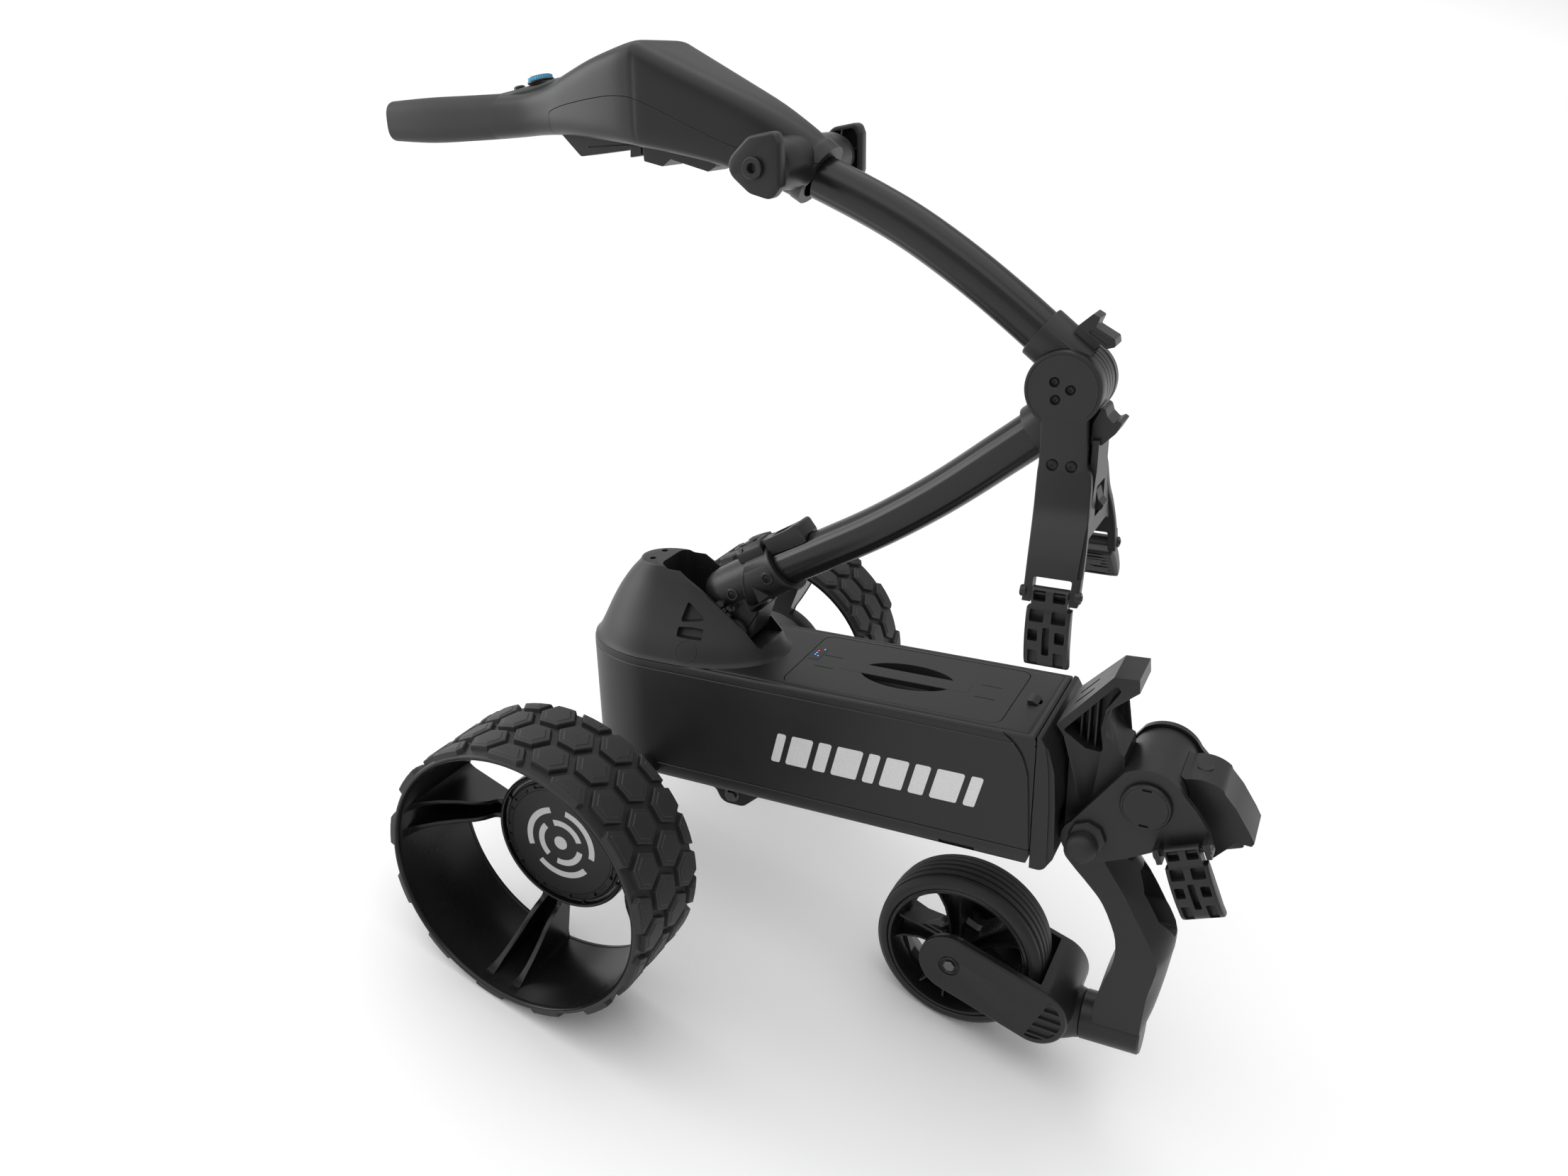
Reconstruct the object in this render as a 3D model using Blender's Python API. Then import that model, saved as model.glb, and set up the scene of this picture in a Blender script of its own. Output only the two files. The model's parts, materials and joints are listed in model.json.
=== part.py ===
"""Electric golf trolley, half folded, standing on its drive wheels and caster.

Everything is drawn in the trolley's own frame: X forward to the caster, Y to
the left, Z up, origin at the centre of the drive axle. The empty called stand
then tips that frame nose up, because the folded caster reaches lower than the
drive wheels, and sets all three wheels on the floor.
"""
import math

import bmesh
import bpy
from mathutils import Matrix, Vector

# ---------------------------------------------------------------- dimensions
GAP = 0.0003                      # air between pieces that touch

WHEEL_R = 0.145                   # drive wheel, over the tread blocks
RIM_R = 0.1355                    # drive rim drum, outside
RIM_WALL = 0.003
WHEEL_IN = 0.2201                 # inner and outer faces of the drive wheel
WHEEL_OUT = 0.3245
HUB_R = 0.0755
HUB_FACE = 0.2400
SPOKES = 4
SPOKE_START = 75.0
RIB_SPREAD = 5.5                  # each spoke is two ribs, this far either side
MOTOR_R = 0.0700
AXLE_R = 0.011

BODY_HALF = 0.0735                # half width of the housing
BODY_TOP = 0.129
BODY_FLOOR = -0.014
BODY_SEAM = 0.006                 # housing above, tray below
BODY_TAIL = 0.098                 # length of the rounded tail behind the axle
BODY_FRONT = 0.4265
NOSE_FRONT = 0.4490
WALL = 0.003

LID_BACK, LID_FRONT, LID_HALF = 0.157, 0.387, 0.060
CASE_DEPTH = 0.096

DOME_FRONT_CENTRE = 0.033
DOME_FRONT_REACH = 0.105
DOME_TOP = 0.220
MOUTH_HALF = 0.0280

MAST_PIVOT = (0.088, 0.0, 0.158)
TUBE_R = 0.0212
UPPER_TUBE_R = 0.0203
DRUM = (0.4196, 0.0, 0.4462)
DRUM_R = 0.0342
DRUM_HALF = 0.0324
KNUCKLE_HALF = 0.0212
KNUCKLE_PIN_R = 0.006

PAD_PIN_X = (0.4072, 0.4575)      # the upper pad pins run between these
PAD_PIN_Y, PAD_PIN_Z = 0.0775, 0.2765

LEG_PIVOT = (0.528, 0.0, 0.071)
LUG_R = 0.0365
CHEEK_IN, CHEEK_OUT = 0.0450, 0.0520
SHELF_HALF = 0.0265
LOWER_PAD_PIVOT = (0.5660, 0.0380)
LOWER_PAD_TILT = 22.0
LOWER_PAD_Y = 0.0625

SWIVEL_Z = -0.2274
SWIVEL_R = 0.026
SWIVEL_SEAM = 0.4785
SWIVEL_END = 0.5415
CASTER = (0.3445, 0.0, -0.1745)
CASTER_R = 0.0931
CASTER_HALF = 0.0290
FORK_FAR_END = (0.4379, -0.2082)
FORK_END_R = 0.0345
FORK_HALF = 0.0505
FORK_GAP_HALF = 0.0415

KNOB_CENTRE = (0.160, 0.629)
DIAL = (-0.1215, 0.0, 0.6990)
BUTTON = (-0.1480, 0.0, 0.6934)
POD_UP = Vector((-0.21, 0.0, 1.0)).normalized()
FLOOR_TILT = math.atan2(-CASTER[2], CASTER[0]) - math.asin(
    (WHEEL_R - CASTER_R) / math.hypot(CASTER[0], CASTER[2]))
STAND_SHIFT = -0.0331             # puts the footprint's middle at the origin

# colour, roughness, metallic
FINISHES = {
    "housing": ((0.016, 0.016, 0.017), 0.45, 0.0),
    "casting": ((0.020, 0.020, 0.021), 0.40, 0.0),
    "tube": ((0.018, 0.018, 0.019), 0.28, 0.6),
    "tread": ((0.020, 0.020, 0.021), 0.70, 0.0),
    "gloss": ((0.012, 0.013, 0.013), 0.22, 0.0),
    "rubber": ((0.022, 0.022, 0.022), 0.62, 0.0),
    "blue": ((0.060, 0.330, 0.560), 0.45, 0.0),
    "steel": ((0.420, 0.430, 0.440), 0.30, 1.0),
    "cell": ((0.050, 0.060, 0.090), 0.50, 0.0),
}

ORIGINS = {}                      # where each empty stands, in the trolley frame


# ------------------------------------------------------------------- helpers
def add_empty(name, at, parent=None):
    """An empty at a point of the trolley frame, on a joint's axis."""
    empty = bpy.data.objects.new(name, None)
    bpy.context.scene.collection.objects.link(empty)
    start = Vector((0, 0, 0))
    if parent is not None:
        empty.parent = parent
        start = ORIGINS[parent.name]
    ORIGINS[name] = Vector(at)
    empty.location = Vector(at) - start
    return empty


def make_object(name, bm, home):
    """Turn a closed bmesh, drawn in the trolley frame, into an object."""
    bmesh.ops.recalc_face_normals(bm, faces=bm.faces)
    mesh = bpy.data.meshes.new(name)
    bm.to_mesh(mesh)
    bm.free()
    obj = bpy.data.objects.new(name, mesh)
    bpy.context.scene.collection.objects.link(obj)
    obj.parent = home
    obj.location = -ORIGINS[home.name]
    return obj


def finish(obj, look, smooth=True):
    """Give a piece its own material and, if it is round, smooth shading."""
    colour, roughness, metallic = FINISHES[look]
    mat = bpy.data.materials.new(obj.name)
    mat.use_nodes = True
    shader = mat.node_tree.nodes["Principled BSDF"]
    shader.inputs["Base Color"].default_value = (*colour, 1.0)
    shader.inputs["Roughness"].default_value = roughness
    shader.inputs["Metallic"].default_value = metallic
    obj.data.materials.append(mat)
    if smooth:
        obj.data.shade_smooth()
        obj.data.set_sharp_from_angle(angle=math.radians(35))
    return obj


def arc(cx, cy, radius, start, stop, steps):
    """Points on an arc, angles in degrees."""
    points = []
    for i in range(steps + 1):
        angle = math.radians(start + (stop - start) * i / steps)
        points.append((cx + radius * math.cos(angle), cy + radius * math.sin(angle)))
    return points


def rounded(corners, radius, steps=3):
    """A closed outline with each corner turned into an arc of this radius."""
    outline = []
    count = len(corners)
    for i, corner in enumerate(corners):
        here = Vector(corner[:2])
        size = corner[2] if len(corner) > 2 else radius
        before = Vector(corners[i - 1][:2]) - here
        after = Vector(corners[(i + 1) % count][:2]) - here
        if size <= 0:
            outline.append(tuple(here))
            continue
        half = before.angle(after) / 2
        reach = min(size / math.tan(half), before.length * 0.49, after.length * 0.49)
        size = reach * math.tan(half)
        centre = here + (before.normalized() + after.normalized()).normalized() * (
            size / math.sin(half))
        first = here + before.normalized() * reach - centre
        turn = first.angle_signed(here + after.normalized() * reach - centre)
        for k in range(steps + 1):
            spin = Matrix.Rotation(-turn * k / steps, 2)
            outline.append(tuple(centre + spin @ first))
    return outline


def lay(point, level, plane):
    """Place a flat point on the XY, XZ or YZ plane at a level along its normal."""
    u, v = point
    if plane == "xy":
        return Vector((u, v, level))
    if plane == "xz":
        return Vector((u, level, v))
    return Vector((level, u, v))


def prism(name, outline, low, high, home, plane="xz"):
    """Extrude a closed outline between two levels."""
    bm = bmesh.new()
    base = [bm.verts.new(lay(p, low, plane)) for p in outline]
    face = bm.faces.new(base)
    grown = bmesh.ops.extrude_face_region(bm, geom=[face])
    tops = [g for g in grown["geom"] if isinstance(g, bmesh.types.BMVert)]
    bmesh.ops.translate(bm, verts=tops, vec=lay((0, 0), high - low, plane))
    return make_object(name, bm, home)


def box(name, low, high, home):
    """A plain block between two corners."""
    outline = [(low[0], low[1]), (high[0], low[1]), (high[0], high[1]), (low[0], high[1])]
    return prism(name, outline, low[2], high[2], home, "xy")


def lathe(name, profile, centre, axis, home, steps=32):
    """Spin a profile of (radius, distance along the axis) into a solid of revolution."""
    direction = Vector(axis).normalized()
    side = direction.orthogonal().normalized()
    bm = bmesh.new()
    ring = [bm.verts.new(Vector(centre) + side * r + direction * t) for r, t in profile]
    edges = [bm.edges.new(pair) for pair in zip(ring, ring[1:])]
    if min(r for r, t in profile) > 0:
        edges.append(bm.edges.new((ring[-1], ring[0])))
    bmesh.ops.spin(bm, geom=ring + edges, cent=centre, axis=direction,
                   angle=math.tau, steps=steps, use_merge=True)
    bmesh.ops.remove_doubles(bm, verts=bm.verts, dist=1e-6)
    return make_object(name, bm, home)


def cylinder(name, start, end, radius, home, steps=24):
    """A round bar between two points."""
    along = Vector(end) - Vector(start)
    profile = [(0, 0), (radius, 0), (radius, along.length), (0, along.length)]
    return lathe(name, profile, start, along, home, steps)


def loft(name, sections, home):
    """Skin a row of closed sections, all with the same number of points."""
    bm = bmesh.new()
    rings = [[bm.verts.new(p) for p in section] for section in sections]
    for near, far in zip(rings, rings[1:]):
        for i in range(len(near)):
            k = (i + 1) % len(near)
            bm.faces.new((near[i], near[k], far[k], far[i]))
    bm.faces.new(rings[0])
    bm.faces.new(rings[-1])
    return make_object(name, bm, home)


def smooth_path(knots, steps):
    """A smooth run of (x, z) points through the knots."""
    points = []
    last = len(knots) - 1
    for i in range(last):
        before = Vector(knots[max(i - 1, 0)])
        here = Vector(knots[i])
        there = Vector(knots[i + 1])
        after = Vector(knots[min(i + 2, last)])
        for k in range(steps):
            t = k / steps
            points.append(0.5 * (2 * here + (there - before) * t
                                 + (2 * before - 5 * here + 4 * there - after) * t ** 2
                                 + (3 * here - before - 3 * there + after) * t ** 3))
    points.append(Vector(knots[-1]))
    return points


def bent_bar(name, path, radius, home, sides=18):
    """A round bar along a path in the XZ plane."""
    sections = []
    for i, point in enumerate(path):
        along = path[min(i + 1, len(path) - 1)] - path[max(i - 1, 0)]
        along.normalize()
        section = []
        for k in range(sides):
            angle = math.tau * k / sides
            lift = radius * math.sin(angle)
            section.append(Vector((point.x - along.y * lift, radius * math.cos(angle),
                                   point.y + along.x * lift)))
        sections.append(section)
    return loft(name, sections, home)


def boolean(obj, others, operation):
    for other in others:
        other.hide_render = True
        other.display_type = "WIRE"
        step = obj.modifiers.new(operation.lower(), "BOOLEAN")
        step.object = other
        step.operation = operation
        step.solver = "EXACT"
    return obj


def cut(obj, *cutters):
    return boolean(obj, cutters, "DIFFERENCE")


def join(obj, *pieces):
    return boolean(obj, pieces, "UNION")


def soften(obj, width, segments=1):
    """Break the sharp edges of a solid."""
    bevel = obj.modifiers.new("soften", "BEVEL")
    bevel.width = width
    bevel.segments = segments
    bevel.limit_method = "ANGLE"
    bevel.angle_limit = math.radians(40)
    return obj


# --------------------------------------------------------------- drive wheels
def drive_wheel(side, hand, root):
    """Tyre, drum rim with twin-rib spokes, hub cap, and the fixed hub motor."""
    spin = add_empty("drive_wheel_" + hand, (0, side * HUB_FACE, 0), root)
    inner, outer = WHEEL_IN, WHEEL_OUT
    axis = (0, side, 0)
    centre = (0, 0, 0)
    tyre = [(RIM_R + GAP, outer), (RIM_R + GAP, inner), (WHEEL_R - 0.004, inner),
            (WHEEL_R, inner + 0.006), (WHEEL_R, outer - 0.006), (WHEEL_R - 0.004, outer)]
    finish(lathe("drive_tyre_" + hand, tyre, centre, axis, spin, 48), "tread")

    drum = [(RIM_R, outer - 0.001), (RIM_R, inner + 0.001),
            (RIM_R - RIM_WALL, inner + 0.001), (RIM_R - RIM_WALL, outer - 0.001)]
    rim = lathe("drive_rim_" + hand, drum, centre, axis, spin, 48)
    cup = [(0, HUB_FACE - 0.003), (MOTOR_R + 0.002, HUB_FACE - 0.003),
           (MOTOR_R + 0.002, inner + 0.0012), (HUB_R, inner + 0.0012),
           (HUB_R, HUB_FACE), (0, HUB_FACE)]
    join(rim, lathe("cup_" + hand, cup, centre, axis, spin, 32))
    for i in range(SPOKES):
        join(rim, *spoke(i, side, hand, spin))
    finish(rim, "gloss")

    cap = [(0, HUB_FACE + GAP), (0.064, HUB_FACE + GAP), (0.064, HUB_FACE + 0.002),
           (0.062, HUB_FACE + 0.003), (0, HUB_FACE + 0.003)]
    finish(lathe("hub_cap_" + hand, cap, centre, axis, spin, 32), "housing")

    motor = [(0, inner + 0.0016), (MOTOR_R, inner + 0.0016),
             (MOTOR_R, HUB_FACE - 0.0040), (0, HUB_FACE - 0.0040)]
    finish(lathe("hub_motor_" + hand, motor, centre, axis, root, 24), "steel")


def spoke(index, side, hand, home):
    """One spoke: two ribs that deepen towards the rim, and the web behind them."""
    angle = math.radians(SPOKE_START + 360 / SPOKES * index)
    outwards = Vector((math.cos(angle), 0, math.sin(angle)))
    across = Vector((-math.sin(angle), 0, math.cos(angle)))
    root_r, tip_r = HUB_R - 0.0018, RIM_R - 0.0020
    back = WHEEL_IN + 0.002
    shape = [(root_r, back), (root_r, HUB_FACE - 0.001), (tip_r, WHEEL_OUT - 0.014),
             (tip_r, back)]
    spread = tip_r * math.sin(math.radians(RIB_SPREAD))
    parts = []
    for turn in (-1, 1):
        sections = []
        for thick in (-0.002, 0.002):
            section = []
            for r, y in shape:
                lean = turn * spread * (0.62 + 0.38 * (r - root_r) / (tip_r - root_r))
                section.append(outwards * r + across * (lean + thick)
                               + Vector((0, side * y, 0)))
            sections.append(section)
        parts.append(loft("rib_%s_%d_%d" % (hand, index, turn), sections, home))
    sections = []
    for y in (back - 0.0005, back + 0.004):
        section = []
        for r, width in ((root_r, 0.62 * spread), (tip_r - 0.0005, spread),
                         (tip_r - 0.0005, -spread), (root_r, -0.62 * spread)):
            section.append(outwards * r + across * width + Vector((0, side * y, 0)))
        sections.append(section)
    parts.append(loft("web_%s_%d" % (hand, index), sections, home))
    return parts


# ----------------------------------------------------------------------- body
def plan(inset, front, steps=10):
    """The housing seen from above: a rounded tail and straight sides."""
    half = BODY_HALF - inset
    tail = BODY_TAIL - inset
    points = [(front - inset, -half), (front - inset, half)]
    for i in range(steps + 1):
        angle = math.radians(90 + 180 * i / steps)
        points.append((tail * math.cos(angle), half * math.sin(angle)))
    return points


def body_shell(root):
    shell = prism("body_shell", plan(0, BODY_FRONT), BODY_SEAM + GAP, BODY_TOP, root, "xy")
    hollow = prism("shell_hollow", plan(WALL, BODY_FRONT), -0.02, BODY_TOP - WALL, root, "xy")
    lid = LID_HALF + 0.0004
    opening = prism("battery_mouth", rounded(
        [(LID_BACK - 0.0004, -lid), (LID_FRONT + 0.0004, -lid),
         (LID_FRONT + 0.0004, lid), (LID_BACK - 0.0004, lid)], 0.010), 0.10, 0.15, root, "xy")
    well = prism("mast_well", arc(0.050, 0, 0.045, 0, 345, 23), 0.10, 0.15, root, "xy")
    axle_way = cylinder("shell_axle_way", (0, -0.09, 0), (0, 0.09, 0), AXLE_R + GAP, root)
    slot = box("latch_slot", (0.3990, -0.0045, 0.10), (0.4130, 0.0045, 0.15), root)
    cut(shell, hollow, opening, well, axle_way, slot)
    return finish(shell, "housing")


def body_tray(root):
    tray = prism("body_tray", plan(0, BODY_FRONT), BODY_FLOOR, BODY_SEAM, root, "xy")
    pocket = prism("tray_pocket", plan(WALL, BODY_FRONT), BODY_FLOOR + WALL, 0.02, root, "xy")
    axle_way = cylinder("tray_axle_way", (0, -0.09, 0), (0, 0.09, 0), AXLE_R + GAP, root)
    soften(tray, 0.002)
    cut(tray, pocket, axle_way)
    return finish(tray, "housing")


def front_frame(root):
    """The end cap that closes the front of the housing."""
    half = 0.0700
    side = [(BODY_FRONT + GAP, BODY_FLOOR), (NOSE_FRONT, BODY_FLOOR, 0.008),
            (NOSE_FRONT, 0.100, 0.02), (0.4400, BODY_TOP, 0.006), (BODY_FRONT + GAP, BODY_TOP)]
    cap = prism("front_frame", rounded(side, 0), -half, half, root)
    hollow = box("frame_hollow", (0.42, -half + WALL, BODY_FLOOR + WALL),
                 (NOSE_FRONT - 0.005, half - WALL, 0.100), root)
    cut(cap, hollow)
    return finish(cap, "housing")


def dome_section(z, scale, tail, inset=0.0, steps=24):
    """The dome's plan at one height: shares of the housing's plan, the tail with its own."""
    section = []
    for i in range(steps):
        angle = math.tau * i / steps
        if math.cos(angle) < 0:
            x = (BODY_TAIL * tail - inset) * math.cos(angle)
        else:
            x = DOME_FRONT_CENTRE + (DOME_FRONT_REACH * scale - inset) * math.cos(angle)
        y = (BODY_HALF * scale - inset) * math.sin(angle)
        section.append(Vector((x, y, z)))
    return section


def dome_cover(root):
    """The rounded tower over the mast hinge, open where the mast comes out."""
    outer = ((0.0, 0.965, 0.972), (0.20, 0.845, 0.862), (0.40, 0.700, 0.770),
             (0.60, 0.565, 0.662), (0.80, 0.445, 0.522), (0.94, 0.395, 0.405), (1.0, 0.345, 0.350))
    height = DOME_TOP - BODY_TOP - GAP
    sections = [dome_section(BODY_TOP + GAP + height * h, s, tail) for h, s, tail in outer]
    dome = loft("dome_cover", sections, root)
    inner = [(-0.05, 0.965, 0.972)] + [(h * 0.965, s, tail) for h, s, tail in outer[:-1]]
    hollow = loft("dome_hollow", [dome_section(BODY_TOP + GAP + height * h, s, tail, WALL)
                                  for h, s, tail in inner], root)
    mouth = box("dome_mouth", (-0.002, -MOUTH_HALF, 0.1405), (0.1190, MOUTH_HALF, 0.24), root)
    cut(dome, hollow, mouth)
    return finish(dome, "housing")


def battery(root):
    """The pack lifts out as one: case below, lid with a grab bar on top."""
    lift = add_empty("battery_lift", (0.272, 0, BODY_TOP), root)
    inset = 0.004
    case = prism("battery_case", rounded(
        [(LID_BACK + inset, -LID_HALF + inset), (LID_FRONT - inset, -LID_HALF + inset),
         (LID_FRONT - inset, LID_HALF - inset), (LID_BACK + inset, LID_HALF - inset)], 0.008),
        BODY_TOP - 0.018 - CASE_DEPTH, BODY_TOP - 0.018, lift, "xy")
    finish(case, "cell")
    lid = prism("battery_lid", rounded(
        [(LID_BACK, -LID_HALF), (LID_FRONT, -LID_HALF), (LID_FRONT, LID_HALF),
         (LID_BACK, LID_HALF)], 0.010), BODY_TOP - 0.0177, BODY_TOP, lift, "xy")
    scoop = []
    for i in range(24):
        angle = math.tau * i / 24
        scoop.append((0.272 + 0.050 * math.cos(angle), 0.027 * math.sin(angle)))
    well = prism("scoop", scoop, BODY_TOP - 0.0150, 0.15, lift, "xy")
    bar = box("grab_bar", (0.2215, -0.0065, BODY_TOP - 0.006), (0.3225, 0.0065, BODY_TOP), lift)
    cut(lid, well)
    join(lid, bar)
    finish(lid, "housing")

    slide = add_empty("battery_latch_slide", (0.405, 0, BODY_TOP), root)
    plate = box("battery_latch", (0.4000, -0.0085, BODY_TOP + GAP),
                (0.4105, 0.0085, BODY_TOP + 0.0035), slide)
    stem = box("latch_stem", (0.4020, -0.0040, BODY_TOP - 0.008),
               (0.4085, 0.0040, BODY_TOP + 0.001), slide)
    join(plate, stem)
    finish(plate, "casting", smooth=False)


def tail_bracket(root):
    """The plate under the tray that carries a bolt boss behind the axle's line."""
    half = 0.045
    side = rounded([(0.018, BODY_FLOOR - GAP), (0.135, BODY_FLOOR - GAP),
                    (0.098, -0.045, 0.012), (0.076, -0.045, 0.012), (0.066, -0.029, 0.006),
                    (0.018, -0.026)], 0)
    bracket = prism("tail_bracket", side, -half, half, root)
    relief = box("bracket_relief", (0.04, -0.037, -0.06), (0.16, 0.037, -0.0185), root)
    bolt_way = cylinder("bolt_way", (0.087, -0.06, -0.033), (0.087, 0.06, -0.033), 0.0043, root)
    cut(bracket, relief, bolt_way)
    finish(bracket, "casting")


def axle(root):
    reach = WHEEL_IN + 0.0012
    finish(cylinder("axle_tube", (0, -reach, 0), (0, reach, 0), AXLE_R, root), "tube")


# ---------------------------------------------------------------------- mast
def mast_root(root, mast):
    """Hinge ears fixed in the dome, the pin, and the casting that swings on it."""
    px, py, pz = MAST_PIVOT
    ear = [(px - 0.020, 0.1293), (px + 0.013, 0.1293)] + arc(px, pz, 0.013, -10, 190, 10)
    ears = prism("mast_bracket", ear, -0.0275, 0.0275, root)
    gap_cut = box("ear_gap", (0.04, -0.0235, 0.1345), (0.16, 0.0235, 0.20), root)
    pin_way = cylinder("ear_pin_way", (px, -0.05, pz), (px, 0.05, pz), 0.0053, root)
    cut(ears, gap_cut, pin_way)
    finish(ears, "casting")
    finish(cylinder("mast_pin", (px, -0.0272, pz), (px, 0.0272, pz), 0.0050, root, 20), "steel")

    outline = arc(px, pz, 0.0165, -170, -15, 7)
    outline += [(0.1230, 0.1830), (0.1025, 0.1745), (0.0906, 0.2030), (0.0772, 0.2272),
                (0.0640, 0.2200), (0.0550, 0.2060), (0.0590, 0.1940)]
    nose = prism("mast_root", outline, -0.0205, 0.0205, mast)
    soften(nose, 0.003, 2)
    bore = cylinder("nose_bore", (px, -0.05, pz), (px, 0.05, pz), 0.0053, mast)
    cut(nose, bore)
    finish(nose, "casting")


LOWER_PATH = [(0.0915, 0.2058), (0.1215, 0.2225), (0.1792, 0.2540), (0.2410, 0.2890), (0.3030, 0.3305),
              (0.3631, 0.3771), (0.4025, 0.4083)]
UPPER_PATH = [(0.4004, 0.4815), (0.3690, 0.5060), (0.3320, 0.5330), (0.2950, 0.5575),
              (0.2610, 0.5775), (0.2235, 0.5960), (0.1900, 0.6100)]


def direction(start, end):
    return (Vector((end[0], 0, end[1])) - Vector((start[0], 0, start[1]))).normalized()


def lower_mast(mast):
    tube = bent_bar("lower_tube", smooth_path(LOWER_PATH, 2), TUBE_R, mast)
    finish(tube, "tube")
    aim = direction(LOWER_PATH[0], LOWER_PATH[1])
    start = Vector((LOWER_PATH[0][0], 0, LOWER_PATH[0][1]))
    rim, body, length = 0.0285, 0.0262, 0.036
    bore = TUBE_R + 0.0009
    profile = [(bore, 0), (rim, 0), (rim, 0.005), (body, 0.007), (body, length - 0.008),
               (rim, length - 0.006), (rim, length), (bore, length)]
    collar = lathe("clamp_collar", profile, start, aim, mast, 24)
    finish(collar, "casting")
    return start, aim


def collar_lever(mast, start, aim):
    """Over-centre cam lever along the top of the clamp collar."""
    up = Vector((-aim.z, 0, aim.x))
    hinge_at = start + aim * 0.018 + up * 0.0345
    lever = add_empty("collar_lever_hinge", hinge_at, mast)
    shape = [(-0.0075, -0.0048, 0.004), (0.0260, -0.0048), (0.0330, -0.0120), (0.0760, -0.0190),
             (0.0790, -0.0100, 0.002), (0.0770, 0.0040, 0.004), (0.0550, 0.0016, 0.003),
             (0.0340, 0.0020, 0.003), (0.0240, 0.0050, 0.003), (-0.0075, 0.0050, 0.004)]
    outline = []
    for u, v in rounded(shape, 0):
        spot = hinge_at + aim * u + up * v
        outline.append((spot.x, spot.z))
    bar = prism("collar_lever", outline, -0.0150, 0.0150, lever)
    saddle = bent_bar("lever_saddle", smooth_path(LOWER_PATH[:4], 2), TUBE_R + 0.0010, lever)
    cut(bar, saddle)
    soften(bar, 0.002, 2)
    finish(bar, "casting")


def knuckle(name, mouth, inner, tube_r, home, side):
    """Half of the middle hinge: a socket for the tube and half a drum on one side."""
    aim = (Vector((inner[0], 0, inner[1])) - Vector((mouth[0], 0, mouth[1])))
    length = aim.length
    start = Vector((mouth[0], 0, mouth[1]))
    outer = tube_r + 0.0040
    profile = [(0, 0.0), (outer - 0.001, 0.0), (outer, 0.001), (outer, length), (0, length)]
    socket = lathe(name, profile, start, aim, home, 24)
    cx, cy, cz = DRUM
    clear = DRUM_R + 0.0006
    far_side = (cx, -side * 0.0003, cz)
    far_end = (cx, -side * 0.05, cz)
    near_side = (cx, side * KNUCKLE_HALF, cz)
    near_end = (cx, side * 0.05, cz)
    cut(socket, cylinder(name + "_clear_far", far_side, far_end, clear, home, 32),
        cylinder(name + "_clear_near", near_side, near_end, clear, home, 32))
    drum_profile = [(0, 0.0003), (DRUM_R - 0.0006, 0.0003), (DRUM_R - 0.0006, KNUCKLE_HALF),
                    (0, KNUCKLE_HALF)]
    join(socket, lathe(name + "_drum", drum_profile, DRUM, (0, side, 0), home, 32))
    bore_end = start + aim.normalized() * 0.018
    bore_start = start - aim.normalized() * 0.01
    cut(socket, cylinder(name + "_bore", bore_start, bore_end, tube_r + GAP, home, 24),
        cylinder(name + "_pin_way", (cx, -0.05, cz), (cx, 0.05, cz), KNUCKLE_PIN_R + GAP, home))
    return finish(socket, "casting")


def mid_hinge(mast, upper):
    lower = knuckle("lower_knuckle", (0.3910, 0.3992), (0.4135, 0.4169), TUBE_R, mast, 1)
    for side in (-1, 1):
        low, high = sorted((side * KNUCKLE_HALF, side * 0.03))
        cut(lower, box("cheek_way_%d" % side, (0.4020, low, 0.36), (0.45, high, 0.43), mast))
    knuckle("upper_knuckle", (0.3894, 0.4901), (0.4270, 0.4607), UPPER_TUBE_R, upper, -1)
    pin_end = KNUCKLE_HALF - 0.0002
    finish(cylinder("mid_hinge_pin", (DRUM[0], -pin_end, DRUM[2]), (DRUM[0], pin_end, DRUM[2]),
                    KNUCKLE_PIN_R, mast), "steel")

    hinge = add_empty("mast_latch_hinge", (0.4520, 0, 0.4850), upper)
    shape = [(0.4500, 0.4803), (0.4578, 0.4825, 0.002), (0.4564, 0.4893, 0.002),
             (0.4398, 0.4984, 0.001), (0.4429, 0.5062, 0.002), (0.4369, 0.5096, 0.002),
             (0.4232, 0.4978, 0.001)]
    latch = prism("mast_latch", rounded(shape, 0), -0.0120, 0.0120, hinge)
    finish(latch, "casting")


# ------------------------------------------------------------- bag arms, top
# height, outer face, thickness, rear edge, front edge
ARM_STATIONS = ((0.4300, 0.0324, 0.0107, 0.4030, 0.4430), (0.3950, 0.0328, 0.0107, 0.4030, 0.4440),
                (0.3720, 0.0345, 0.0105, 0.4030, 0.4500), (0.3450, 0.0430, 0.0105, 0.4035, 0.4520),
                (0.3250, 0.0560, 0.0110, 0.4050, 0.4550), (0.3050, 0.0680, 0.0115, 0.4065, 0.4565),
                (0.2860, 0.0770, 0.0125, 0.4075, 0.4570), (0.2690, 0.0830, 0.0130, 0.4075, 0.4570))


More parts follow.
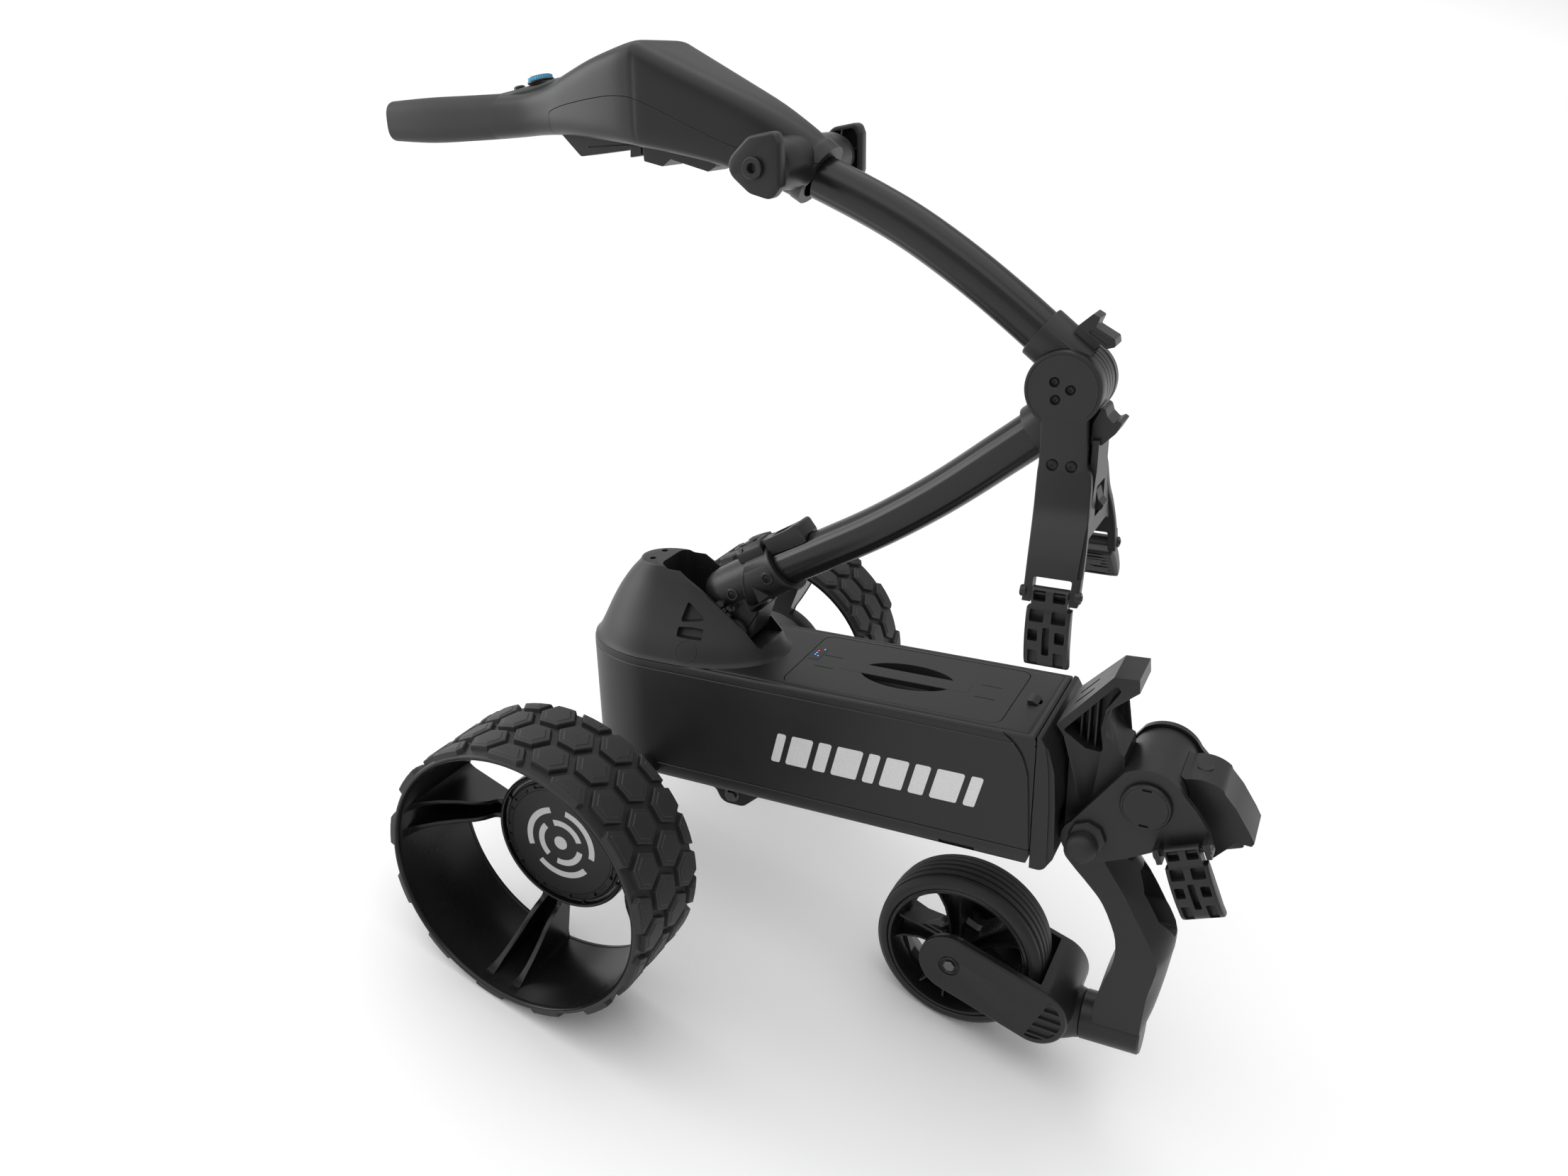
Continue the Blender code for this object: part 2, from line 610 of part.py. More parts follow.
def bag_arm(side, hand, mast):
    """Cap over the middle hinge that runs down into a flared arm with a forked end."""
    sections = []
    for z, outer, thick, back, front in ARM_STATIONS:
        section = []
        for x, y in rounded([(back, outer), (front, outer), (front, outer - thick),
                             (back, outer - thick)], 0.002, 1):
            section.append(Vector((x, side * y, z)))
        sections.append(section)
    arm = loft("bag_arm_" + hand, sections, mast)
    inner = KNUCKLE_HALF + GAP
    cap = [(0, inner), (DRUM_R, inner), (DRUM_R, DRUM_HALF - 0.001), (DRUM_R - 0.001, DRUM_HALF),
           (0, DRUM_HALF)]
    join(arm, lathe("cap_" + hand, cap, DRUM, (0, side, 0), mast, 32))
    low = min(side * 0.05, side * 0.11)
    high = max(side * 0.05, side * 0.11)
    slot = box("fork_" + hand, (0.4160, low, 0.25), (0.4490, high, 0.2885), mast)
    pin_way = cylinder("arm_pin_way_" + hand, (0.39, side * PAD_PIN_Y, PAD_PIN_Z),
                       (0.47, side * PAD_PIN_Y, PAD_PIN_Z), 0.0028, mast, 16)
    cut(arm, slot, pin_way)
    finish(arm, "casting")


def arm_web(mast):
    """Plate across the front of the two arms, with the window for the cradle lever."""
    half = [(0.0208, 0.3950), (0.0212, 0.3760), (0.0305, 0.3460), (0.0430, 0.3260), (0.0480, 0.3150)]
    outline = half + [(-y, z) for y, z in reversed(half)]
    web = prism("arm_web", outline, 0.4460, 0.4515, mast, "yz")
    block = box("web_block", (0.4170, -0.0212, 0.3600), (0.4465, 0.0212, 0.3800), mast)
    window = box("web_window", (0.43, -0.0165, 0.3300), (0.46, 0.0165, 0.3560), mast)
    join(web, block)
    cut(web, window)
    finish(web, "casting")

    hinge = add_empty("cradle_lever_hinge", (0.4488, 0, 0.3520), mast)
    shape = [(0.4466, 0.3545, 0.001), (0.4510, 0.3545, 0.001), (0.4560, 0.3360, 0.001),
             (0.4515, 0.3345, 0.001)]
    paddle = prism("cradle_lever", rounded(shape, 0), -0.0100, 0.0100, hinge)
    finish(paddle, "casting")

    hinge = add_empty("arm_latch_hinge", (0.4480, 0, 0.3990), mast)
    shape = [(0.4430, 0.3966, 0.001), (0.4530, 0.3966, 0.002), (0.4642, 0.4080, 0.002),
             (0.4694, 0.4176, 0.001), (0.4661, 0.4196, 0.001), (0.4617, 0.4173, 0.001),
             (0.4560, 0.4225, 0.002), (0.4540, 0.4285, 0.001), (0.4510, 0.4310, 0.001),
             (0.4475, 0.4235, 0.001), (0.4440, 0.4160, 0.001)]
    hook = prism("arm_latch", rounded(shape, 0), -0.0150, 0.0150, hinge)
    finish(hook, "casting")


def pad_shape(name, home, place, side, y_mid):
    """A clamp pad in its own flat frame: u across, w down from the pin, moulded pockets."""
    def spots(points):
        return [place(u, w) for u, w in points]

    half = 0.0200
    thick = 0.0098
    low = side * (y_mid - thick)
    high = side * (y_mid + thick)
    outline = spots(rounded([(-half, -0.0135), (half, -0.0135), (half, -0.0690, 0.006),
                             (-half, -0.0690, 0.006)], 0.001, 2))
    pad = prism(name, outline, min(low, high), max(low, high), home)
    neck = prism(name + "_neck", spots([(-0.0160, -0.0165), (0.0160, -0.0165)]
                                       + arc(0.0095, 0, 0.0063, -10, 90, 4)
                                       + arc(-0.0095, 0, 0.0063, 90, 190, 4)),
                 side * y_mid - 0.0062, side * y_mid + 0.0062, home)
    join(pad, neck)
    bottom = side * (y_mid + 0.002)
    top = side * (y_mid + 0.020)
    for u, w, wide, tall in ((-0.0105, -0.0200, 0.0065, 0.0085), (0.0105, -0.0200, 0.0065, 0.0085),
                             (-0.0115, -0.0370, 0.0050, 0.0080), (0.0115, -0.0370, 0.0050, 0.0080),
                             (0.0, -0.0380, 0.0032, 0.0230), (-0.0115, -0.0600, 0.0055, 0.0160),
                             (0.0115, -0.0600, 0.0055, 0.0160)):
        corners = [(u - wide, w - tall / 2), (u + wide, w - tall / 2),
                   (u + wide, w + tall / 2), (u - wide, w + tall / 2)]
        pocket = prism("%s_pocket_%.0f_%.0f" % (name, u * 1e4, w * 1e4), spots(corners),
                       min(bottom, top), max(bottom, top), home)
        cut(pad, pocket)
    return pad


PAD_SWING = {"left": 45.0, "right": 0.0}    # degrees outwards as the trolley stands


def upper_pad(side, hand, mast):
    hinge = add_empty("upper_pad_hinge_" + hand, (0.4325, side * PAD_PIN_Y, PAD_PIN_Z), mast)
    hinge.rotation_euler = (side * math.radians(PAD_SWING[hand]), 0, 0)
    pad = pad_shape("upper_pad_" + hand, hinge, lambda u, w: (0.4325 + u, PAD_PIN_Z + w),
                    side, PAD_PIN_Y)
    join(pad, cylinder("upper_pad_pin_" + hand, (PAD_PIN_X[0] - 0.001, side * PAD_PIN_Y, PAD_PIN_Z),
                       (PAD_PIN_X[1] + 0.001, side * PAD_PIN_Y, PAD_PIN_Z), 0.0025, hinge, 16))
    finish(pad, "rubber", smooth=False)


# -------------------------------------------------------------------- handle
# station x, bottom, top, half width, squareness of the section
GRIP = ((-0.3080, 0.6445, 0.6830, 0.0190, 2.6), (-0.3040, 0.6420, 0.6855, 0.0210, 2.6),
        (-0.2600, 0.6425, 0.6865, 0.0212, 2.6), (-0.2100, 0.6445, 0.6880, 0.0214, 2.6),
        (-0.1653, 0.6470, 0.6895, 0.0216, 2.6))
HEAD = ((-0.1650, 0.6470, 0.6895, 0.0216, 2.6), (-0.1300, 0.6500, 0.6920, 0.0235, 2.8),
        (-0.1000, 0.6510, 0.7000, 0.0300, 3.2), (-0.0500, 0.6480, 0.7160, 0.0450, 3.8),
        (0.0000, 0.6430, 0.7290, 0.0550, 4.4), (0.0170, 0.6410, 0.7300, 0.0562, 4.4),
        (0.0450, 0.6370, 0.7180, 0.0530, 4.2), (0.1000, 0.6240, 0.6880, 0.0420, 3.6),
        (0.1500, 0.6070, 0.6570, 0.0310, 2.6), (0.1760, 0.5970, 0.6440, 0.0275, 2.2))


def oval(x, bottom, top, half, power, lean=0.0, steps=20):
    """A squared-off oval standing across X, leaning forward at the bottom or top."""
    section = []
    for i in range(steps):
        angle = math.tau * i / steps
        c, s = math.cos(angle), math.sin(angle)
        y = half * math.copysign(abs(c) ** (2 / power), c)
        rise = math.copysign(abs(s) ** (2 / power), s)
        z = (bottom + top) / 2 + (top - bottom) / 2 * rise
        section.append(Vector((x + lean * rise, y, z)))
    return section


def handle(upper):
    finish(loft("handle_grip", [oval(*row) for row in GRIP], upper), "rubber")

    seam = [(-0.1700, 0.6650), (-0.1000, 0.6690), (-0.0200, 0.6840), (0.0100, 0.6840),
            (0.0600, 0.6660), (0.1300, 0.6400), (0.2100, 0.6150)]
    below = [(0.2100, 0.56), (-0.1700, 0.56)]
    above = [(0.2100, 0.80), (-0.1700, 0.80)]
    pod = loft("control_pod", [oval(-0.1600, 0.6860, 0.6905, 0.0100, 2.4),
                               oval(-0.1500, 0.6840, 0.6925, 0.0130, 2.4),
                               oval(-0.1200, 0.6840, 0.6985, 0.0150, 2.4),
                               oval(-0.0950, 0.6840, 0.7040, 0.0140, 2.4),
                               oval(-0.0880, 0.6950, 0.7050, 0.0110, 2.4)], upper)
    wedge = rounded([(-0.0950, 0.6600), (-0.0950, 0.6496), (-0.0700, 0.6320, 0.004),
                     (-0.0120, 0.6370, 0.003), (-0.0050, 0.6600)], 0)
    hook = prism("umbrella_hook", wedge, -0.0160, 0.0160, upper)
    strip = rounded([(-0.0010, 0.6500), (0.0040, 0.6260, 0.002), (0.0260, 0.6220, 0.002),
                     (0.0320, 0.6290), (0.0740, 0.6190, 0.002), (0.0780, 0.6400)], 0)
    rail = prism("accessory_rail", strip, -0.0180, 0.0180, upper)
    button_foot = Vector(BUTTON) - 0.0026 * POD_UP
    parts = (("handle_cover", [(x, z + GAP) for x, z in seam], below),
             ("handle_base", seam, above))
    for name, line, rest in parts:
        sections = []
        for k, row in enumerate(HEAD):
            lean = 0.012 * max(0.0, (k - 6) / 3)
            sections.append(oval(*row, lean=lean))
        shell = loft(name, sections, upper)
        cut(shell, prism(name + "_split", line + rest, -0.10, 0.10, upper))
        room = prism(name + "_room", [(-0.090, 0.656), (-0.090, 0.690), (0.000, 0.716),
                                      (0.020, 0.716), (0.085, 0.680), (0.095, 0.640),
                                      (0.000, 0.652)], -0.024, 0.024, upper)
        bore = bent_bar(name + "_bore", smooth_path([(0.2235, 0.5960), (0.1900, 0.6100),
                                                     (0.1300, 0.6340)], 3),
                        UPPER_TUBE_R + 0.0005, upper)
        cut(shell, room, bore)
        if name == "handle_cover":
            join(shell, pod)
            cut(shell, cylinder("button_well", button_foot, button_foot + 0.01 * POD_UP, 0.0064,
                                upper, 16))
        else:
            join(shell, hook, rail)
        finish(shell, "housing")


def handle_fittings(upper):
    for side, hand in ((-1, "right"), (1, "left")):
        at = (KNOB_CENTRE[0], 0, KNOB_CENTRE[1])
        boss = [(0, 0.0345), (0.0205, 0.0345), (0.0220, 0.0400), (0.0220, 0.0720),
                (0.0190, 0.0760), (0.0190, 0.0790), (0, 0.0790)]
        finish(lathe("knob_boss_" + hand, boss, at, (0, side, 0), upper, 32), "casting")
        spin = add_empty("knob_" + hand + "_spin", (at[0], side * 0.10, at[2]), upper)
        shape = rounded([(at[0] - 0.0300, at[2] + 0.0040, 0.010), (at[0] + 0.0170, at[2] + 0.0290, 0.012),
                         (at[0] + 0.0230, at[2] + 0.0180, 0.006), (at[0] + 0.0225, at[2] - 0.0170, 0.008),
                         (at[0] + 0.0120, at[2] - 0.0270, 0.010)], 0.008)
        low, high = sorted((side * 0.0830, side * 0.0960))
        knob = prism("knob_" + hand, shape, low, high, spin)
        soften(knob, 0.002, 1)
        hub = [(0, 0.0793), (0.0120, 0.0793), (0.0120, 0.0850), (0.0080, 0.0850),
               (0.0080, 0.1010), (0, 0.1010)]
        join(knob, lathe("knob_hub_" + hand, hub, at, (0, side, 0), spin, 24))
        finish(knob, "casting")

    spin = add_empty("speed_dial_spin", DIAL, upper)
    dial = [(0, 0), (0.0125, 0), (0.0135, 0.0010), (0.0135, 0.0040), (0.0120, 0.0055), (0, 0.0055)]
    finish(lathe("speed_dial", dial, DIAL, POD_UP, spin, 24), "blue")
    push = add_empty("power_button_push", BUTTON, upper)
    button = [(0, 0), (0.0060, 0), (0.0060, 0.0020), (0.0050, 0.0030), (0, 0.0030)]
    finish(lathe("power_button", button, BUTTON, POD_UP, push, 16), "blue")


# ---------------------------------------------------------- cradle and hinge
def cradle(root):
    """Bracket on the nose: hook with a round recess, and the front hinge barrel."""
    recess = arc(0.5130, 0.1345, 0.0325, 120, 245, 12)
    outline = [(NOSE_FRONT + GAP, 0.1200), (0.4560, 0.1500), (0.4840, 0.1820), (0.5070, 0.1820),
               (0.5070, 0.1680)]
    outline += recess
    outline += [(0.5100, 0.0500), (NOSE_FRONT + GAP, 0.0500)]
    bracket = prism("cradle_bracket", outline, -0.0280, 0.0280, root)
    pocket = [(0.4570, 0.1290), (0.4820, 0.1600), (0.4720, 0.1350), (0.4730, 0.1080),
              (0.4600, 0.1100)]
    cut(bracket, prism("pocket_right", pocket, -0.04, -0.006, root),
        prism("pocket_left", pocket, 0.006, 0.04, root))
    barrel = [(0, -CHEEK_IN + GAP), (0.0335, -CHEEK_IN + GAP), (0.0335, CHEEK_IN - GAP),
              (0, CHEEK_IN - GAP)]
    join(bracket, lathe("barrel", barrel, LEG_PIVOT, (0, 1, 0), root, 32))
    x, y, z = LEG_PIVOT
    cut(bracket, cylinder("barrel_bore", (x, -0.06, z), (x, 0.06, z), 0.0083, root))
    finish(bracket, "casting")

    face = CHEEK_OUT + GAP
    pin = [(0, -face - 0.0052), (0.0215, -face - 0.0052), (0.0235, -face - 0.0042),
           (0.0235, -face), (0.0080, -face), (0.0080, face), (0.0235, face),
           (0.0235, face + 0.0042), (0.0215, face + 0.0052), (0, face + 0.0052)]
    finish(lathe("front_hinge_pin", pin, LEG_PIVOT, (0, 1, 0), root, 24), "housing")


def bag_shelf(folding):
    """Ledge wrapped round the barrel that the bag's base stands on once the leg is out."""
    x, y, z = LEG_PIVOT
    outline = arc(x, z, 0.0338, 45, -30, 7)
    outline += [(0.5860, 0.0180), (0.6070, 0.0370), (0.6220, 0.0365), (0.6235, 0.0450)]
    outline += [(0.6060, 0.0720)] + arc(0.5710, 0.0580, 0.0400, 50, 110, 7)
    ledge = prism("bag_shelf", outline, -SHELF_HALF, SHELF_HALF, folding)
    finish(ledge, "casting")


def leg(folding):
    """Curved blade from the cheeks to the swivel tube, with a six-sided window."""
    # height, rear edge, front corner, crown of the front face, half width
    rows = ((0.0300, 0.4600, 0.4900, 0.4960, 0.0350), (0.0080, 0.4520, 0.4930, 0.4990, 0.0350),
            (-0.0160, 0.4570, 0.4980, 0.5080, 0.0350), (-0.0600, 0.4900, 0.5230, 0.5330, 0.0350),
            (-0.0950, 0.5080, 0.5410, 0.5510, 0.0350), (-0.1210, 0.5105, 0.5520, 0.5600, 0.0340),
            (-0.1600, 0.5010, 0.5450, 0.5520, 0.0300), (-0.2120, 0.4930, 0.5410, 0.5415, 0.0250))
    sections = []
    for z, back, corner, crown, half in rows:
        inner = half * 0.55
        flat = ((back, -half), (corner, -half), (crown, -inner), (crown, inner), (corner, half),
                (back, half))
        sections.append([Vector((x, y, z)) for x, y in flat])
    blade = loft("leg", sections, folding)
    tube = [(0, SWIVEL_SEAM + GAP), (SWIVEL_R, SWIVEL_SEAM + GAP), (SWIVEL_R, SWIVEL_END), (0, SWIVEL_END)]
    join(blade, lathe("swivel_tube", tube, (0, 0, SWIVEL_Z), (1, 0, 0), folding, 32))
    window = [(-0.011, -0.030), (0.011, -0.030), (0.020, -0.048), (0.020, -0.078), (0.008, -0.096),
              (-0.008, -0.096), (-0.020, -0.078), (-0.020, -0.048)]
    hole = prism("leg_window", window, 0.47, 0.60, folding, "yz")
    pin_way = cylinder("swivel_way", (0.40, 0, SWIVEL_Z), (0.5253, 0, SWIVEL_Z), 0.0083, folding)
    cut(blade, hole, pin_way)
    finish(blade, "casting")


def leg_cheek(side, hand, folding):
    """Side plate that carries the leg on the hinge pin and the lower pad on its edge."""
    x, y, z = LEG_PIVOT
    outline = arc(x, z, LUG_R, 30, 130, 8)
    outline += arc(0.4740, 0.0170, 0.0225, 135, 280, 8)
    outline += [(0.4960, 0.0020), (0.5380, 0.0230), (0.5900, 0.0440), (0.5840, 0.0590)]
    low, high = sorted((side * CHEEK_IN, side * CHEEK_OUT))
    plate = prism("leg_cheek_" + hand, outline, low, high, folding)
    lug_low, lug_high = sorted((side * 0.0353, side * (CHEEK_IN + 0.001)))
    lug = prism("cheek_foot_" + hand, rounded([(0.4560, 0.0000), (0.4900, 0.0000), (0.4900, 0.0300),
                                               (0.4600, 0.0300)], 0.003, 1),
                lug_low, lug_high, folding)
    ears = []
    low, high = sorted((side * (CHEEK_OUT - 0.002), side * (LOWER_PAD_Y + 0.0065)))
    for u in (-0.0255, 0.0205):
        corners = [on_lower_pin(u + du, w) for du, w in
                   ((0, -0.0070), (0.0050, -0.0070), (0.0050, 0.0070), (0, 0.0070))]
        ears.append(prism("pad_ear_%s_%.0f" % (hand, u * 1e4), corners, low, high, folding))
    join(plate, lug, *ears)
    cut(plate, lower_pad_pin("pad_ear_way_" + hand, side, 0.0028, folding))
    cut(plate, cylinder("cheek_bore_" + hand, (x, side * 0.03, z), (x, side * 0.08, z), 0.0083,
                        folding))
    finish(plate, "casting")

    stop = [(0, CHEEK_OUT + GAP), (0.0135, CHEEK_OUT + GAP), (0.0135, 0.0680), (0.0115, 0.0725),
            (0.0065, 0.0750), (0, 0.0758)]
    finish(lathe("stop_bumper_" + hand, stop, (0.4740, 0, 0.0170), (0, side, 0), folding, 24),
           "rubber")


def on_lower_pin(u, w):
    """A point beside the lower pad's pin: u along the pin, w square to it."""
    tilt = math.radians(LOWER_PAD_TILT)
    return (LOWER_PAD_PIVOT[0] + u * math.cos(tilt) - w * math.sin(tilt),
            LOWER_PAD_PIVOT[1] + u * math.sin(tilt) + w * math.cos(tilt))


def lower_pad_pin(name, side, radius, home):
    ends = []
    for u in (-0.0265, 0.0265):
        x, z = on_lower_pin(u, 0)
        ends.append((x, side * LOWER_PAD_Y, z))
    return cylinder(name, ends[0], ends[1], radius, home, 16)


def lower_pad(side, hand, folding):
    cx, cz = LOWER_PAD_PIVOT
    hinge = add_empty("lower_pad_hinge_" + hand, (cx, side * LOWER_PAD_Y, cz), folding)
    pad = pad_shape("lower_pad_" + hand, hinge, on_lower_pin, side, LOWER_PAD_Y)
    join(pad, lower_pad_pin("lower_pad_pin_" + hand, side, 0.0025, hinge))
    finish(pad, "rubber", smooth=False)


# -------------------------------------------------------------------- caster
def caster(folding):
    swivel = add_empty("caster_swivel", (SWIVEL_SEAM, 0, SWIVEL_Z), folding)
    cx, cy, cz = CASTER
    ex, ez = FORK_FAR_END
    slope = math.degrees(math.atan2(ez - cz, ex - cx))
    side_view = arc(cx, cz, FORK_END_R, slope + 90, slope + 270, 12)
    side_view += arc(ex, ez, FORK_END_R, slope - 90, slope + 90, 12)
    fork = prism("caster_fork", side_view, -FORK_HALF, FORK_HALF, swivel)
    stem = [(0, 0.440), (SWIVEL_R, 0.440), (SWIVEL_R, SWIVEL_SEAM), (0, SWIVEL_SEAM)]
    join(fork, lathe("fork_stem", stem, (0, 0, SWIVEL_Z), (1, 0, 0), swivel, 32))
    room = CASTER_R + 0.0040
    cut(fork, lathe("wheel_clearance", [(0, -FORK_GAP_HALF), (room, -FORK_GAP_HALF),
                                        (room, FORK_GAP_HALF), (0, FORK_GAP_HALF)],
                    CASTER, (0, 1, 0), swivel, 48),
        cylinder("axle_bore", (cx, -0.06, cz), (cx, 0.06, cz), 0.0043, swivel, 20))
    join(fork, cylinder("swivel_pin", (0.4600, 0, SWIVEL_Z), (0.5250, 0, SWIVEL_Z), 0.0080, swivel))
    finish(fork, "casting")
    reach = FORK_HALF - 0.0008
    bolt = [(0, -reach), (0.0040, -reach), (0.0040, reach), (0, reach)]
    finish(lathe("caster_axle", bolt, CASTER, (0, 1, 0), swivel, 20), "steel")

    spin = add_empty("caster_spin", CASTER, swivel)
    half = CASTER_HALF
    tyre = [(0.0795, half), (0.0795, -half), (0.0850, -half), (0.0895, -half * 0.86),
            (CASTER_R, -half * 0.42), (CASTER_R, half * 0.42), (0.0895, half * 0.86), (0.0850, half)]
    finish(lathe("caster_tyre", tyre, CASTER, (0, 1, 0), spin, 40), "rubber")
    ring = [(0.0792, half - 0.001), (0.0792, 0.001 - half), (0.0715, 0.001 - half),
            (0.0715, half - 0.001)]
    rim = lathe("caster_rim", ring, CASTER, (0, 1, 0), spin, 32)
    hub = [(0.0046, -0.0385), (0.0150, -0.0385), (0.0150, 0.0385), (0.0046, 0.0385)]
    join(rim, lathe("caster_hub", hub, CASTER, (0, 1, 0), spin, 16))
    for i in range(5):
        angle = math.radians(20 + 72 * i)
        outwards = Vector((math.cos(angle), 0, math.sin(angle)))
        across = Vector((-math.sin(angle), 0, math.cos(angle)))
        sections = []
        for y in (-0.006, 0.006):
            row = ((0.0130, 0.008), (0.0730, 0.011), (0.0730, -0.011), (0.0130, -0.008))
            sections.append([Vector(CASTER) + outwards * r + across * w + Vector((0, y, 0))
                             for r, w in row])
        join(rim, loft("caster_spoke_%d" % i, sections, spin))
    finish(rim, "gloss")


# ---------------------------------------------------------------------- build
def main():
    for old in list(bpy.data.objects):
        bpy.data.objects.remove(old, do_unlink=True)
    root = add_empty("stand", (0, 0, 0))
    root.rotation_euler = (0, -FLOOR_TILT, 0)
    root.location = (STAND_SHIFT, 0, WHEEL_R)

    for side, hand in ((-1, "right"), (1, "left")):
        drive_wheel(side, hand, root)
    axle(root)
    body_shell(root)
    body_tray(root)
    front_frame(root)
    dome_cover(root)
    battery(root)
    tail_bracket(root)

    mast = add_empty("lower_mast_fold", MAST_PIVOT, root)
    upper = add_empty("upper_mast_fold", DRUM, mast)
    mast_root(root, mast)
    start, aim = lower_mast(mast)
    collar_lever(mast, start, aim)
    mid_hinge(mast, upper)
    for side, hand in ((-1, "right"), (1, "left")):
        bag_arm(side, hand, mast)
        upper_pad(side, hand, mast)
    arm_web(mast)

    tube = bent_bar("upper_tube", smooth_path(UPPER_PATH, 2), UPPER_TUBE_R, upper)
    finish(tube, "tube")
    handle(upper)
    handle_fittings(upper)

    folding = add_empty("leg_fold", LEG_PIVOT, root)
    cradle(root)
    leg(folding)
    bag_shelf(folding)
    for side, hand in ((-1, "right"), (1, "left")):
        leg_cheek(side, hand, folding)
        lower_pad(side, hand, folding)
    caster(folding)


main()
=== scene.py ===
"""Looks of the half-folded electric golf trolley.

Every piece is drawn in the trolley's own frame: X forward to the caster, Y to
the left, Z up, origin at the centre of the drive axle. TROLLEY, worked out from
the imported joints, carries that frame onto the floor.
"""

import json
import math

import bmesh
import bpy
from mathutils import Matrix, Vector


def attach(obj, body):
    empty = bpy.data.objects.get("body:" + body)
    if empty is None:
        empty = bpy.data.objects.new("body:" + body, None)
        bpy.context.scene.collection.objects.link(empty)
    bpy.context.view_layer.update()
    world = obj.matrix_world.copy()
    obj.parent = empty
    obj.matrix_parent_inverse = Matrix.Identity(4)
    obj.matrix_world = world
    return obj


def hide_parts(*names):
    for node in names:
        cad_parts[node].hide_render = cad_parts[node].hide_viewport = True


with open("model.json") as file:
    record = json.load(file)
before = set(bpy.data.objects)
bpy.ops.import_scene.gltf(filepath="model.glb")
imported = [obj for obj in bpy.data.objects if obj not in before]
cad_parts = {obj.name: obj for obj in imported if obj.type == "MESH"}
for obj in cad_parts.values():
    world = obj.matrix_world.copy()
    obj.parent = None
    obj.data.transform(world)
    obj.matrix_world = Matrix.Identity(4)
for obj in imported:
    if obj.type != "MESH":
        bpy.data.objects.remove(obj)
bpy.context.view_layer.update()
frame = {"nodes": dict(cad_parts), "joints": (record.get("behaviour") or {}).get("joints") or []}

JOINTS = {joint["name"]: joint for joint in frame["joints"]}
AHEAD = Vector(JOINTS["caster_swivel"]["axis"])
TILT = math.atan2(AHEAD.z, AHEAD.x)
AXLE = Vector(JOINTS["drive_spin_left"]["pos_m"]) * Vector((1, 0, 1))
TROLLEY = Matrix.Translation(AXLE) @ Matrix.Rotation(-TILT, 4, "Y")


def local(joint):
    """Where a joint sits in the trolley's own frame."""
    return TROLLEY.inverted() @ Vector(JOINTS[joint]["pos_m"])


# ---------------------------------------------------------------- dimensions
WHEEL_IN, WHEEL_OUT = 0.2201, 0.3245
TREAD_BASE, TREAD_TOP = 0.1388, 0.1450
RIM_OUT, RIM_IN = 0.1353, 0.1330
HUB_R, HUB_FACE = 0.0755, 0.2400
SPOKE_ANGLES = (75, 165, 255, 345)
RIB_TURN = 6.75
TREAD_COLUMNS = 26
TREAD_PITCH = 0.0400

BODY_HALF, BODY_TOP, BODY_FLOOR, BODY_SEAM = 0.0735, 0.129, -0.014, 0.006
BODY_TAIL, BODY_FRONT, NOSE_FRONT = 0.098, 0.4265, 0.4490
LID_BACK, LID_FRONT, LID_HALF = 0.157, 0.387, 0.060
DOME_FRONT_CENTRE, DOME_FRONT_REACH, DOME_TOP = 0.033, 0.105, 0.220
MOUTH_BACK, MOUTH_FRONT, MOUTH_HALF, MOUTH_FLOOR = -0.0020, 0.1190, 0.0280, 0.1405

TUBE_R, UPPER_TUBE_R = 0.0212, 0.0203
LOWER_PATH = [(0.0915, 0.2058), (0.1215, 0.2225), (0.1792, 0.2540), (0.2410, 0.2890),
              (0.3030, 0.3305), (0.3631, 0.3771), (0.4010, 0.4071)]
UPPER_PATH = [(0.3995, 0.4822), (0.3690, 0.5060), (0.3320, 0.5330), (0.2950, 0.5575),
              (0.2610, 0.5775), (0.2235, 0.5960), (0.1800, 0.6150)]
MAST_PIVOT = local("lower_mast_fold")
DRUM = local("upper_mast_fold")
DRUM_R, DRUM_HALF, KNUCKLE_HALF = 0.0342, 0.0324, 0.0212
PAD_PIN = local("upper_pad_tilt_left")
LEG_PIVOT = local("leg_fold")
CHEEK_IN, CHEEK_OUT = 0.0450, 0.0520
LOWER_PIN = local("lower_pad_tilt_left")
LOWER_PAD_TURN = 22.0
PAD_SWING = {"left": 45.0, "right": 0.0}
SWIVEL = local("caster_swivel")
SWIVEL_R, SWIVEL_END = 0.026, 0.5415
CASTER = local("caster_spin")
CASTER_R, CASTER_HALF, CASTER_BEAD = 0.0931, 0.0290, 0.0795
FORK_END, FORK_END_R = (0.4379, -0.2082), 0.0345
FORK_HALF, FORK_GAP = 0.0505, 0.0415
WINDOW_ANGLE = 137
KNOB = local("side_knob_turn_left")
POD_UP = Vector((-0.21, 0.0, 1.0)).normalized()


# ----------------------------------------------------------------- materials
def shader_nodes(name):
    mat = bpy.data.materials.new(name)
    mat.use_nodes = True
    tree = mat.node_tree
    return mat, tree, tree.nodes["Principled BSDF"]


def add_node(tree, kind, **settings):
    node = tree.nodes.new(kind)
    for key, value in settings.items():
        if key.startswith("in_"):
            node.inputs[key[3:].replace("_", " ")].default_value = value
        else:
            setattr(node, key, value)
    return node


